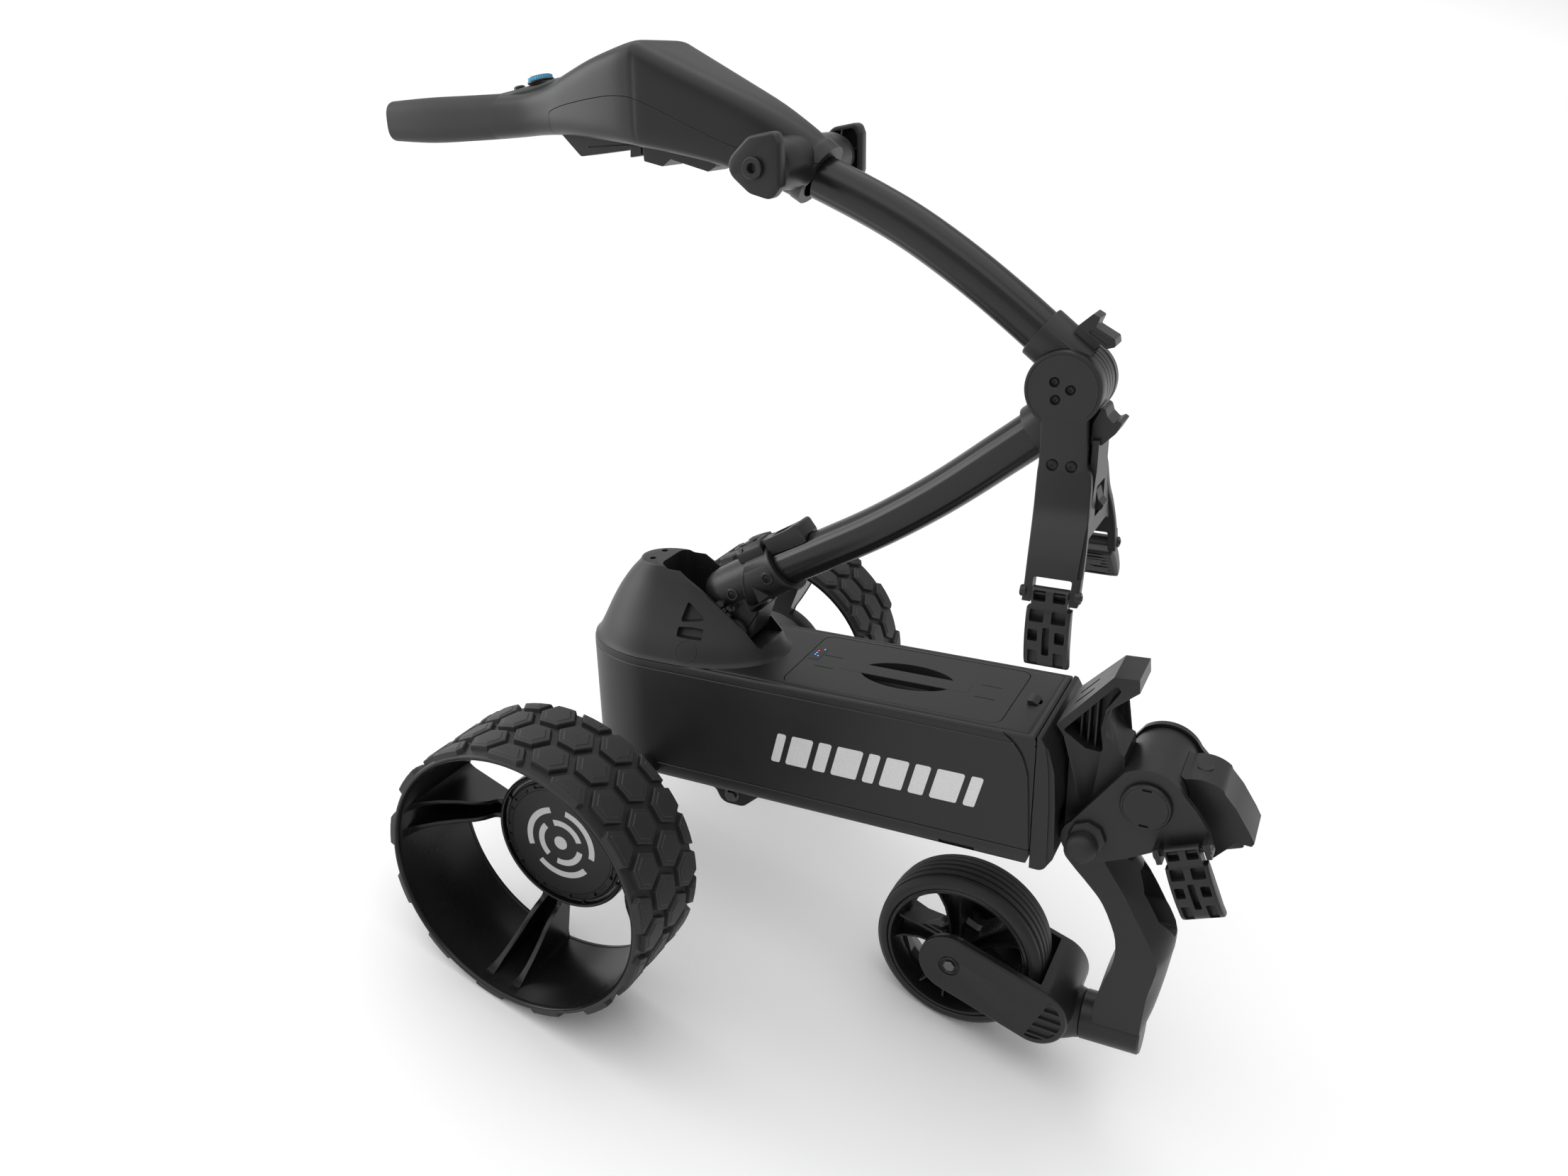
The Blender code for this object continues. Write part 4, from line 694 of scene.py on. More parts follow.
def body():
    rows = [(0.0010, BODY_SEAM + 0.0004), (0.0, BODY_SEAM + 0.0012), (0.0, 0.1188),
            (0.0009, 0.1196), (0.0009, 0.1204), (0.0, 0.1212), (0.0003, 0.1252), (0.0014, 0.1276),
            (0.0034, 0.1288), (0.0056, 0.1286), (0.0066, 0.1280), (0.0078, 0.1280),
            (0.0088, 0.1286), (0.0110, BODY_TOP)]
    shell = stack("body_shell", rows, BODY_FRONT)
    hollow = prism("hollow", plan(0.003, BODY_FRONT, 24), 0.0, 0.1240, "xy")
    seat = prism("lid_seat", rounded([(LID_BACK - 0.0007, -LID_HALF - 0.0007),
                                      (LID_FRONT + 0.0007, -LID_HALF - 0.0007),
                                      (LID_FRONT + 0.0007, LID_HALF + 0.0007),
                                      (LID_BACK - 0.0007, LID_HALF + 0.0007)], 0.012, 6),
                 0.11, 0.15, "xy")
    well = prism("well", arc(0.050, 0, 0.045, 0, 350, 35), 0.10, 0.15, "xy")
    slot = prism("latch_slot", rounded([(0.3990, -0.0045), (0.4130, -0.0045), (0.4130, 0.0045),
                                        (0.3990, 0.0045)], 0.001), 0.10, 0.15, "xy")
    step = []
    for side in (-1, 1):
        low, high = sorted((side * (BODY_HALF - 0.0016), side * 0.09))
        step.append(prism("step", beyond_side(0.0), low, high))
    cut(shell, hollow, seat, well, slot, *step, *side_groove(0.0002, 0.0018, 0.0024, "groove"))
    soften(shell, 0.0005, 2, 40)
    dress(shell, "housing", "chassis", "body_shell", sharp=30)

    rows = [(0.0120, BODY_FLOOR), (0.0070, BODY_FLOOR + 0.0010), (0.0032, BODY_FLOOR + 0.0040),
            (0.0012, BODY_FLOOR + 0.0090), (0.0, BODY_FLOOR + 0.0140), (0.0, BODY_SEAM - 0.0008),
            (0.0010, BODY_SEAM)]
    tray = stack("body_tray", rows, BODY_FRONT)
    vents = []
    for side in (-1, 1):
        low, high = sorted((side * (BODY_HALF - 0.006), side * 0.09))
        vents.append(prism("vent", rounded([(0.335, -0.0105), (0.372, -0.0105), (0.372, -0.0050),
                                            (0.335, -0.0050)], 0.0012), low, high))
    step = []
    for side in (-1, 1):
        low, high = sorted((side * (BODY_HALF - 0.0016), side * 0.09))
        step.append(prism("step", beyond_side(0.0), low, high))
    cut(tray, *vents, *step)
    soften(tray, 0.0005, 2, 40)
    dress(tray, "housing", "chassis", "body_tray", sharp=30)


def front_frame():
    half = 0.0712
    side = rounded([(BODY_FRONT + 0.0006, BODY_FLOOR, 0), (0.4400, BODY_FLOOR - 0.0004, 0.010),
                    (0.4500, 0.0010, 0.010), (0.4480, 0.0560, 0.03), (0.4450, 0.0940, 0.03),
                    (0.4385, 0.1160, 0.012), (0.4310, 0.1290, 0.006),
                    (BODY_FRONT + 0.0006, 0.1294, 0)], 0.004)
    cap = prism("front_frame", side, -half, half)
    cutters = []
    for s in (-1, 1):
        low, high = sorted((s * (half - 0.0022), s * 0.09))
        band = [(0.4330, 0.1400), (0.4362, 0.1180), (0.4398, 0.0950), (0.4424, 0.0560),
                (0.4438, -0.0050), (0.4438, -0.0300), (0.4600, -0.0300), (0.4600, 0.1400)]
        cutters.append(prism("band", band, low, high))
    recess = prism("recess", rounded([(-0.052, 0.012), (0.052, 0.012), (0.052, 0.044),
                                      (-0.052, 0.044)], 0.006), 0.4440, 0.46, "yz")
    cut(cap, *cutters, recess)
    soften(cap, 0.0034, 4, 45)
    dress(cap, "housing", "chassis", "front_frame", sharp=50)


# share of the dome's height, share of the housing's plan, share of its tail
DOME_SHAPE = ((0.0, 0.985, 0.985), (0.035, 0.950, 0.952), (0.08, 0.920, 0.922), (0.20, 0.845, 0.862),
              (0.40, 0.700, 0.770), (0.60, 0.565, 0.662), (0.80, 0.445, 0.522),
              (0.94, 0.392, 0.398), (0.988, 0.370, 0.368), (1.0, 0.340, 0.335))


def dome_section(z, scale, back, inset=0.0, steps=72):
    """The dome's plan at one height; the tail has its own size."""
    section = []
    for i in range(steps):
        angle = math.tau * i / steps
        if math.cos(angle) < 0:
            x = (BODY_TAIL * back - inset) * math.cos(angle)
        else:
            x = DOME_FRONT_CENTRE + (DOME_FRONT_REACH * scale - inset) * math.cos(angle)
        y = (BODY_HALF * scale - inset) * math.sin(angle)
        section.append(Vector((x, y, z)))
    return section


def dome():
    """Tower over the mast hinge: a walled slot for the mast, and recesses on both sides."""
    base = BODY_TOP - 0.0002
    height = DOME_TOP - base
    shape = [(base + height * h, s, b) for h, s, b in curve_through(DOME_SHAPE, 3)]
    cover = loft("dome_cover", [dome_section(*row) for row in shape])
    inner = [(base - 0.010, *shape[0][1:])] + [(z - 0.005, s, b) for z, s, b in shape[:-6]]
    hollow = loft("hollow", [dome_section(*row, 0.0085, 48) for row in inner])
    mouth = prism("mouth", rounded([(MOUTH_BACK, -MOUTH_HALF, 0.013), (MOUTH_FRONT, -MOUTH_HALF, 0.006),
                                    (MOUTH_FRONT, MOUTH_HALF, 0.006), (MOUTH_BACK, MOUTH_HALF, 0.013)],
                                   0, 8), MOUTH_FLOOR, 0.24, "xy")
    slope = prism("slope", [(0.0210, 0.2200), (0.0330, 0.2105), (0.0480, 0.2010), (0.0700, 0.1855),
                            (0.1000, 0.1600), (0.1160, 0.1440), (0.1600, 0.1440), (0.1600, 0.2600),
                            (0.0210, 0.2600)], -0.06, 0.06)
    cut(cover, hollow)

    liner = loft("liner", [dome_section(*row, 0.0004, 60) for row in shape])
    wall = 0.0026
    keep = block("keep", (MOUTH_BACK - wall, -MOUTH_HALF - wall, MOUTH_FLOOR - wall),
                 (MOUTH_FRONT + wall, MOUTH_HALF + wall, 0.24))
    boolean(liner, [keep], "INTERSECT")
    well = block("well", (MOUTH_BACK + 0.004, -MOUTH_HALF + 0.001, 0.10),
                 (0.0960, MOUTH_HALF - 0.001, MOUTH_FLOOR + 0.004))
    cut(liner, well)
    join(cover, liner)
    cut(cover, mouth, slope)
    bars = []
    for side in (-1, 1):
        for x in (0.0130, 0.0185, 0.0300):
            low, high = sorted((side * (MOUTH_HALF - 0.0009), side * (MOUTH_HALF + 0.0010)))
            bars.append(block("bar", (x, low, 0.1440), (x + 0.0014, high, 0.2010)))
    join(cover, *bars)

    recesses = []
    for side in (-1, 1):
        low, high = sorted((side * 0.0300, side * 0.0900))
        for outline in ([(0.0395, 0.1890, 0.0020), (0.0640, 0.1722, 0.0026), (0.0345, 0.1683, 0.0026)],
                        [(0.0335, 0.1640, 0.0026), (0.0480, 0.1652, 0.012), (0.0625, 0.1640, 0.0026),
                         (0.0620, 0.1535, 0.0016), (0.0335, 0.1545, 0.0016)]):
            recess = prism("recess", rounded(outline, 0, 5), low, high)
            core = loft("core", [dome_section(*row, 0.0075, 60) for row in shape])
            recesses.append(cut(recess, core))
        tilt = math.radians(33)
        face = Vector((0, side * math.cos(tilt), math.sin(tilt)))
        ring = [(0.0115, -0.006), (0.0119, -0.006), (0.0119, 0.02), (0.0115, 0.02)]
        seam = lathe("seam", ring, (0.0487, side * 0.0638, 0.1416), face, 72)
        core = loft("core", [dome_section(*row, 0.0008, 60) for row in shape])
        recesses.append(cut(seam, core))
    cut(cover, *recesses)
    holes = [rod("hole", (-0.0180, side * 0.0125, DOME_TOP - 0.0032),
                 (-0.0180, side * 0.0125, DOME_TOP + 0.01), 0.0036, 24) for side in (-1, 1)]
    cut(cover, *holes)
    soften(cover, 0.0007, 3, 40)
    dress(cover, "housing", "chassis", "dome_cover", sharp=34)
    for side, hand in ((-1, "right"), (1, "left")):
        screw("dome_screw_" + hand, (-0.0180, side * 0.0125, DOME_TOP - 0.0032), (0, 0, 1), 0.0031,
              "chassis", depth=0.0012)


def dress_lid():
    lid = prism("battery_lid", rounded([(LID_BACK, -LID_HALF), (LID_FRONT, -LID_HALF),
                                        (LID_FRONT, LID_HALF), (LID_BACK, LID_HALF)], 0.0115, 6),
                0.1120, BODY_TOP, "xy")
    oval = [(0.272 + 0.0500 * math.cos(a), 0.0280 * math.sin(a))
            for a in (math.tau * k / 64 for k in range(64))]
    deep = [(0.272 + 0.0470 * math.cos(a), 0.0250 * math.sin(a))
            for a in (math.tau * k / 64 for k in range(64))]
    scoop = loft("scoop", [[Vector((x, y, 0.1310)) for x, y in oval],
                           [Vector((x, y, 0.1282)) for x, y in oval],
                           [Vector((x, y, 0.1150)) for x, y in deep]])
    cuts = [scoop]
    for x, side in ((0.1740, 1), (0.1740, -1), (0.3480, 1), (0.3480, -1)):
        cuts.append(block("slit", (x, side * 0.0135 - 0.0005, 0.1278),
                          (x + 0.0210, side * 0.0135 + 0.0005, 0.14)))
    cut(lid, *cuts)
    bar = prism("bar", rounded([(0.2000, -0.0105), (0.3400, -0.0105), (0.3400, 0.0105),
                                (0.2000, 0.0105)], 0.0006), 0.1230, BODY_TOP + 0.0002, "xy")
    trim = prism("trim", rounded([(0.2005, -0.0100), (0.3395, -0.0100), (0.3395, 0.0100),
                                  (0.2005, 0.0100)], 0.0006), 0.10, 0.14, "xy")
    boolean(bar, [trim], "INTERSECT")
    soften(lid, 0.0009, 3)
    dress(lid, "housing", "battery", "battery_lid")
    soften(bar, 0.0008, 3)
    dress(bar, "housing", "battery")
    bar.name = "grab_bar"

    panel = prism("charge_window", rounded([(0.1600, 0.0000), (0.1720, 0.0000), (0.1720, 0.0290),
                                            (0.1600, 0.0290)], 0.0012), BODY_TOP - 0.0002,
                  BODY_TOP + 0.00025, "xy")
    dress(panel, "gloss", "battery")
    lamps = {"red": ((0.8, 0.05, 0.03), ((0.1640, 0.0200),)),
             "blue": ((0.10, 0.35, 0.95), ((0.1640, 0.0150), (0.1640, 0.0105), (0.1690, 0.0250),
                                           (0.1680, 0.0085)))}
    for tint, (colour, spots) in lamps.items():
        dots = [rod("lamp_%s_%d" % (tint, k), (x, y, BODY_TOP), (x, y, BODY_TOP + 0.0006), 0.0009,
                    16) for k, (x, y) in enumerate(spots)]
        if len(dots) > 1:
            join(dots[0], *dots[1:])
        dress(dots[0], glowing("lamp " + tint, colour, 1.2), "battery", slot="blue")

    case = frame["nodes"]["battery_case"]
    case.data.materials.clear()
    case.data.materials.append(LOOK["board"])

    catch = prism("battery_latch", rounded([(0.4000, BODY_TOP + 0.0003), (0.4105, BODY_TOP + 0.0003),
                                            (0.4105, BODY_TOP + 0.0012), (0.4050, BODY_TOP + 0.0040),
                                            (0.4000, BODY_TOP + 0.0040)], 0.0006, 3),
                  -0.0085, 0.0085)
    join(catch, block("stem", (0.4020, -0.0040, BODY_TOP - 0.008), (0.4085, 0.0040, BODY_TOP + 0.002)))
    soften(catch, 0.0006, 3)
    dress(catch, "casting", "battery_latch_slider", "battery_latch")


def side_mark(side, hand):
    """Generic row of slanted silver bars on the housing's side, no letters."""
    y = side * BODY_HALF
    levels = sorted((y - side * 0.0002, y + side * 0.00022))
    tall, lean, middle = 0.034, 0.009, 0.058
    parts = []
    x = 0.155
    for wide in (0.010, 0.024, 0.014, 0.028, 0.012, 0.024, 0.016, 0.028, 0.012):
        outline = [(x - lean / 2, middle - tall / 2), (x + wide - lean / 2, middle - tall / 2),
                   (x + wide + lean / 2, middle + tall / 2), (x + lean / 2, middle + tall / 2)]
        parts.append(prism("side_badge_" + hand, rounded(outline, 0.0022, 4), *levels))
        x += wide + 0.0065
    join(parts[0], *parts[1:])
    dress(parts[0], "silver", "chassis")


body()
front_frame()
dome()
dress_lid()
for side, hand in ((-1, "right"), (1, "left")):
    side_mark(side, hand)


def tail_bracket():
    half = 0.045
    side = rounded([(0.018, BODY_FLOOR - 0.0004, 0), (0.135, BODY_FLOOR - 0.0004, 0),
                    (0.100, -0.045, 0.013), (0.074, -0.045, 0.013), (0.066, -0.029, 0.006),
                    (0.018, -0.026, 0.003)], 0)
    bracket = prism("tail_bracket", side, -half, half)
    relief = block("relief", (0.04, -0.037, -0.06), (0.16, 0.037, -0.0185))
    cut(bracket, relief)
    soften(bracket, 0.0012, 3)
    dress(bracket, "casting", "chassis", "tail_bracket")
    for side, hand in ((-1, "right"), (1, "left")):
        washer = lathe("bolt_washer_" + hand, [(0, 0), (0.0085, 0), (0.0085, 0.0010),
                                               (0.0080, 0.0014), (0, 0.0014)],
                       (0.087, side * half, -0.032), (0, side, 0), 32)
        dress(washer, "steel", "chassis")
        nut = slab("bolt_head_" + hand, arc(0, 0, 0.0066, 0, 300, 5),
                   (0.087, side * (half + 0.0014), -0.032), (1, 0, 0), (0, 0, -side), 0.0042)
        soften(nut, 0.0007, 2)
        dress(nut, "steel", "chassis")


tail_bracket()


# ---------------------------------------------------------------------- mast
def grooved_tube(name, path, radius, body, node):
    """Extruded tube: round, with four shallow grooves along it."""
    sections = []
    turns = []
    for k in range(96):
        angle = math.tau * k / 96
        depth = 0.0
        for groove in (38, 142, 218, 322):
            away = abs((math.degrees(angle) - groove + 180) % 360 - 180)
            depth = max(depth, 0.0004 * max(0.0, 1 - (away / 7.0) ** 4))
        turns.append((angle, radius - depth))
    for i, point in enumerate(path):
        along = path[min(i + 1, len(path) - 1)] - path[max(i - 1, 0)]
        along.normalize()
        section = []
        for angle, r in turns:
            lift = r * math.sin(angle)
            section.append(Vector((point.x - along.y * lift, r * math.cos(angle),
                                   point.y + along.x * lift)))
        sections.append(section)
    tube = loft(name, sections)
    dress(tube, "tube", body, node, sharp=30)
    return tube


def heading(start, end):
    return (Vector((end[0], 0, end[1])) - Vector((start[0], 0, start[1]))).normalized()


def mast_frame(u, v, y=0.0):
    """A point beside the lower tube: u along it from its foot, v above it, y across."""
    aim = heading(LOWER_PATH[0], LOWER_PATH[1])
    foot = Vector((LOWER_PATH[0][0], 0, LOWER_PATH[0][1]))
    return foot + aim * u + Vector((-aim.z, 0, aim.x)) * v + Vector((0, y, 0))


def mast_root():
    """The casting that swings in the dome: an elbow for the tube over a ribbed web."""
    px, pz = MAST_PIVOT.x, MAST_PIVOT.z
    outline = arc(px, pz, 0.0165, -170, -15, 12)
    outline += rounded([(0.1230, 0.1830, 0.0012), (0.1035, 0.1800, 0.002), (0.0930, 0.2070, 0.002),
                        (0.0780, 0.2080, 0.002), (0.0600, 0.1980, 0.002), (0.0560, 0.1900, 0.004)], 0, 3)
    nose = prism("mast_root", outline, -0.0205, 0.0205)
    windows = []
    for side in (-1, 1):
        low, high = sorted((side * 0.0172, side * 0.03))
        for cell in ([(0.0680, 0.1895), (0.0765, 0.1905), (0.0770, 0.1862), (0.0715, 0.1828)],
                     [(0.0775, 0.1845), (0.0722, 0.1800), (0.0750, 0.1768), (0.0800, 0.1802)],
                     [(0.0815, 0.1795), (0.0768, 0.1752), (0.0825, 0.1712), (0.0850, 0.1768)],
                     [(0.0815, 0.1868), (0.0795, 0.1838), (0.0850, 0.1803), (0.0870, 0.1838)],
                     [(0.0885, 0.1895), (0.0878, 0.1850), (0.0868, 0.1795), (0.0905, 0.1850)]):
            windows.append(prism("lattice", rounded(cell, 0.0006, 2), low, high))
    cut(nose, *windows)
    soften(nose, 0.0014, 3, 50)
    dress(nose, "casting", "lower_mast", "mast_root")

    aim = heading(LOWER_PATH[0], LOWER_PATH[1])
    profile = [(0, -0.0500), (0.0085, -0.0493), (0.0150, -0.0468), (0.0200, -0.0420),
               (0.0230, -0.0350), (0.0244, -0.0260), (0.0248, -0.0120), (0.0248, 0.0170), (0, 0.0170)]
    elbow = lathe("mast_elbow", profile, mast_frame(0, 0.0008), aim, 72)
    seams = []
    for side in (-1, 1):
        low, high = sorted((side * 0.0195, side * 0.03))
        line = [mast_frame(u, v) for u, v in ((-0.040, -0.0062), (0.020, -0.0062), (0.020, -0.0068),
                                             (-0.040, -0.0068))]
        seams.append(prism("seam", [(p.x, p.z) for p in line], low, high))
    cut(elbow, *seams)
    dress(elbow, "casting", "lower_mast")
    for side, hand in ((-1, "right"), (1, "left")):
        boss = lathe("root_boss_" + hand, [(0, -0.002), (0.0068, -0.002), (0.0068, 0.0016),
                                           (0.0060, 0.0024), (0.0046, 0.0024), (0.0044, 0.0006), (0, 0.0006)],
                     (0.0850, side * 0.0238, 0.1985), (0, side, 0), 40)
        dress(boss, "casting", "lower_mast")
        screw("root_screw_" + hand, (0.0850, side * 0.0244, 0.1985), (0, side, 0), 0.0036,
              "lower_mast", depth=0.0014)


def collar():
    """Clamp band round the tube with slanted ends, a raised front rim, and the cam lever."""
    aim = heading(LOWER_PATH[0], LOWER_PATH[1])
    up = Vector((-aim.z, 0, aim.x))
    bore, skin = TUBE_R + 0.0005, 0.0262
    band = lathe("clamp_collar", [(bore, -0.006), (skin, -0.006), (skin, 0.062), (bore, 0.062)],
                 mast_frame(0, 0), aim, 112)
    rear = [(-0.030, 0.040), (0.0255, 0.040), (0.0195, 0.0262), (-0.0040, -0.0262), (-0.0100, -0.040),
            (-0.030, -0.040)]
    front = [(0.080, 0.040), (0.0440, 0.040), (0.0470, 0.0262), (0.0575, -0.0262), (0.0600, -0.040),
             (0.080, -0.040)]
    ends = [slab("end", shape, mast_frame(0, 0, 0.04), aim, up, 0.08) for shape in (rear, front)]
    split = slab("split", [(-0.02, -0.0010), (0.08, -0.0010), (0.08, 0.0010), (-0.02, 0.0010)],
                 mast_frame(0, -0.040), aim, (0, 1, 0), 0.022)
    cut(band, *ends, split)
    tilted = (aim + up * 0.2).normalized()
    rim = lathe("rim", [(bore + 0.0007, -0.0024), (0.0282, -0.0024), (0.0290, -0.0016),
                        (0.0290, 0.0012), (0.0280, 0.0022), (bore + 0.0007, 0.0022)],
                mast_frame(0.0512, 0), tilted, 112)
    heel = lathe("heel", [(bore + 0.0012, -0.0008), (0.0270, -0.0008), (0.0274, 0.0), (0.0270, 0.0010),
                          (bore + 0.0012, 0.0010)],
                 mast_frame(0.0085, 0), (aim - up * 0.44).normalized(), 112)
    lug = slab("lug", rounded([(0.0090, 0.0230, 0), (0.0270, 0.0230, 0), (0.0250, 0.0385, 0.006),
                               (0.0110, 0.0385, 0.006)], 0, 5), mast_frame(0, 0, 0.0064), aim, up, 0.0128)
    tail = slab("tail", [(0.0190, -0.0030), (0.0320, -0.0190), (0.0175, -0.0215)],
                mast_frame(0, 0, 0.0268), aim, up, 0.0536)
    trim = lathe("trim", [(0, -0.01), (bore, -0.01), (bore, 0.07), (0, 0.07)], mast_frame(0, 0), aim, 64)
    cut(tail, trim)
    join(band, rim, heel, lug, tail)
    soften(band, 0.0004, 2, 45)
    dress(band, "casting", "lower_mast", "clamp_collar")
    for side, hand in ((-1, "right"), (1, "left")):
        spot = mast_frame(0.0397, -0.0016, side * 0.0250)
        boss = lathe("collar_boss_" + hand, [(0, -0.003), (0.0074, -0.003), (0.0070, 0.0018),
                                             (0.0062, 0.0026), (0.0046, 0.0026), (0.0044, 0.0008),
                                             (0, 0.0008)], spot, (0, side, 0), 40)
        dress(boss, "casting", "lower_mast")
        screw("collar_screw_" + hand, spot + Vector((0, side * 0.0008, 0)), (0, side, 0), 0.0036,
              "lower_mast", depth=0.0014)
    collar_lever(aim, up)


def collar_lever(aim, up):
    """Over-centre lever: a rounded saddle over the band, and a hollowed grip ahead of it."""
    # along the tube, half width, underside, crown
    saddle_rows = ((0.0106, 0.0138, 0.0225, 0.0362), (0.0122, 0.0150, 0.0210, 0.0376),
                   (0.0410, 0.0150, 0.0208, 0.0376), (0.0428, 0.0142, 0.0218, 0.0366))
    sections = []
    for u, half, under, crown in saddle_rows:
        shoulder = under + (crown - under) * 0.62
        shape = rounded([(-half, under, 0.0008), (half, under, 0.0008), (half, shoulder, 0.006),
                         (half * 0.55, crown, 0.007), (-half * 0.55, crown, 0.007),
                         (-half, shoulder, 0.006)], 0, 5)
        sections.append([mast_frame(u, v, y) for y, v in shape])
    lever = loft("collar_lever", sections)
    grip = slab("grip", rounded([(0.0490, 0.0172, 0.001), (0.0720, 0.0160, 0.003), (0.0850, 0.0140, 0.002),
                                 (0.0950, 0.0160, 0.002), (0.0962, 0.0220, 0.0016),
                                 (0.0940, 0.0372, 0.0040), (0.0820, 0.0352, 0.006),
                                 (0.0490, 0.0345, 0.0020)], 0, 4),
                mast_frame(0, 0, 0.0150), aim, up, 0.0300)
    soften(grip, 0.0014, 3, 50)
    settle(grip)
    neck = slab("neck", [(0.0400, 0.0305), (0.0520, 0.0305), (0.0520, 0.0338), (0.0400, 0.0360)],
                mast_frame(0, 0, 0.0100), aim, up, 0.0200)
    join(lever, grip, neck)
    tube_way = [Vector((x, 0, z)) for x, z in curve_through(LOWER_PATH[:5], 3)]
    rings = []
    for i, point in enumerate(tube_way):
        along = (tube_way[min(i + 1, len(tube_way) - 1)] - tube_way[max(i - 1, 0)]).normalized()
        over = Vector((-along.z, 0, along.x))
        rings.append([point + (over * math.sin(a) + Vector((0, 1, 0)) * math.cos(a)) * (TUBE_R + 0.0012)
                      for a in (math.tau * k / 48 for k in range(48))])
    saddle = loft("saddle", rings)
    scoop = slab("scoop", rounded([(0.0560, -0.0100), (0.0780, -0.0100), (0.0780, 0.0100),
                                   (0.0560, 0.0100)], 0.004, 5), mast_frame(0, 0.0280), aim, (0, 1, 0), 0.03)
    slit = slab("slit", rounded([(0.0170, -0.0085), (0.0390, -0.0085), (0.0390, 0.0085),
                                 (0.0170, 0.0085)], 0.002, 4), mast_frame(0, 0.0345), aim, (0, 1, 0), 0.03)
    lug_way = slab("lug_way", [(0.0060, -0.0070), (0.0290, -0.0070), (0.0290, 0.0070), (0.0060, 0.0070)],
                   mast_frame(0, 0.0180), aim, (0, 1, 0), 0.0215)
    cut(lever, saddle, scoop, slit, lug_way)
    soften(lever, 0.0006, 2, 50)
    dress(lever, "casting", "collar_cam_lever", "collar_lever", sharp=34)
    hinge = local("collar_lever_open")
    pin = rod("lever_pin", hinge - Vector((0, 0.0142, 0)), hinge + Vector((0, 0.0142, 0)), 0.0020, 20)
    dress(pin, "steel", "collar_cam_lever")


def knuckle(name, mouth, inner, tube_r, body, side):
    """Half of the middle hinge: a socket for the tube and half a drum on one side."""
    start = Vector((mouth[0], 0, mouth[1]))
    end = Vector((inner[0], 0, inner[1]))
    aim = end - start
    length = aim.length
    outer = tube_r + 0.0041
    profile = [(tube_r + 0.0004, 0.0), (outer - 0.0012, 0.0), (outer - 0.0003, 0.0006),
               (outer, 0.0020), (outer, length), (0, length), (0, 0.018), (tube_r + 0.0004, 0.018)]
    socket = lathe(name, profile, start, aim, 96)
    clear = DRUM_R + 0.0006
    cx, cz = DRUM.x, DRUM.z
    cut(socket, rod("far", (cx, -side * 0.0003, cz), (cx, -side * 0.05, cz), clear, 96),
        rod("near", (cx, side * KNUCKLE_HALF, cz), (cx, side * 0.05, cz), clear, 96))
    if side > 0:
        for s in (-1, 1):
            low, high = sorted((s * KNUCKLE_HALF, s * 0.03))
            cut(socket, block("cheek_way", (0.4020, low, 0.36), (0.45, high, 0.43)))
    r = DRUM_R - 0.0006
    disc = [(0, 0.0003), (r - 0.0008, 0.0003), (r, 0.0011), (r, 0.0085), (r - 0.0007, 0.0090),
            (r - 0.0007, 0.0098), (r, 0.0103), (r, KNUCKLE_HALF - 0.0006),
            (r - 0.0006, KNUCKLE_HALF), (0, KNUCKLE_HALF)]
    join(socket, lathe("drum", disc, DRUM, (0, side, 0), 96))
    soften(socket, 0.0006, 2, 45)
    dress(socket, "casting", body, name, sharp=34)


def middle_hinge():
    knuckle("lower_knuckle", (0.3910, 0.3992), (0.4135, 0.4169), TUBE_R, "lower_mast", 1)
    knuckle("upper_knuckle", (0.3894, 0.4901), (0.4270, 0.4607), UPPER_TUBE_R, "upper_mast", -1)
    pin = frame["nodes"]["mid_hinge_pin"]
    pin.data.materials.clear()
    pin.data.materials.append(LOOK["steel"])

    shape = rounded([(0.4500, 0.4803, 0.0015), (0.4578, 0.4825, 0.0020), (0.4564, 0.4893, 0.0015),
                     (0.4398, 0.4984, 0.0010), (0.4429, 0.5062, 0.0016), (0.4369, 0.5096, 0.0016),
                     (0.4232, 0.4978, 0.0012)], 0, 4)
    latch = prism("mast_latch", shape, -0.0120, 0.0120)
    recess = [(0.4500, 0.4832), (0.4548, 0.4845), (0.4538, 0.4875), (0.4380, 0.4955), (0.4325, 0.4945)]
    trims = []
    for side in (-1, 1):
        low, high = sorted((side * 0.0106, side * 0.02))
        trims.append(prism("trim", rounded(recess, 0.001, 3), low, high))
    cut(latch, *trims)
    soften(latch, 0.0008, 3)
    dress(latch, "casting", "hinge_latch", "mast_latch")
    seat = prism("latch_seat", [(0.4201, 0.4909), (0.4382, 0.4767), (0.4444, 0.4846),
                                (0.4251, 0.4972)], -0.0105, 0.0105)
    dress(seat, "casting", "upper_mast")


mast_root()
collar()
grooved_tube("lower_tube", curve_through(LOWER_PATH, 8), TUBE_R, "lower_mast", "lower_tube")
grooved_tube("upper_tube", curve_through(UPPER_PATH, 8), UPPER_TUBE_R, "upper_mast", "upper_tube")
middle_hinge()
for name, look in (("mast_bracket", "casting"), ("mast_pin", "steel")):
    frame["nodes"][name].data.materials.clear()
    frame["nodes"][name].data.materials.append(LOOK[look])


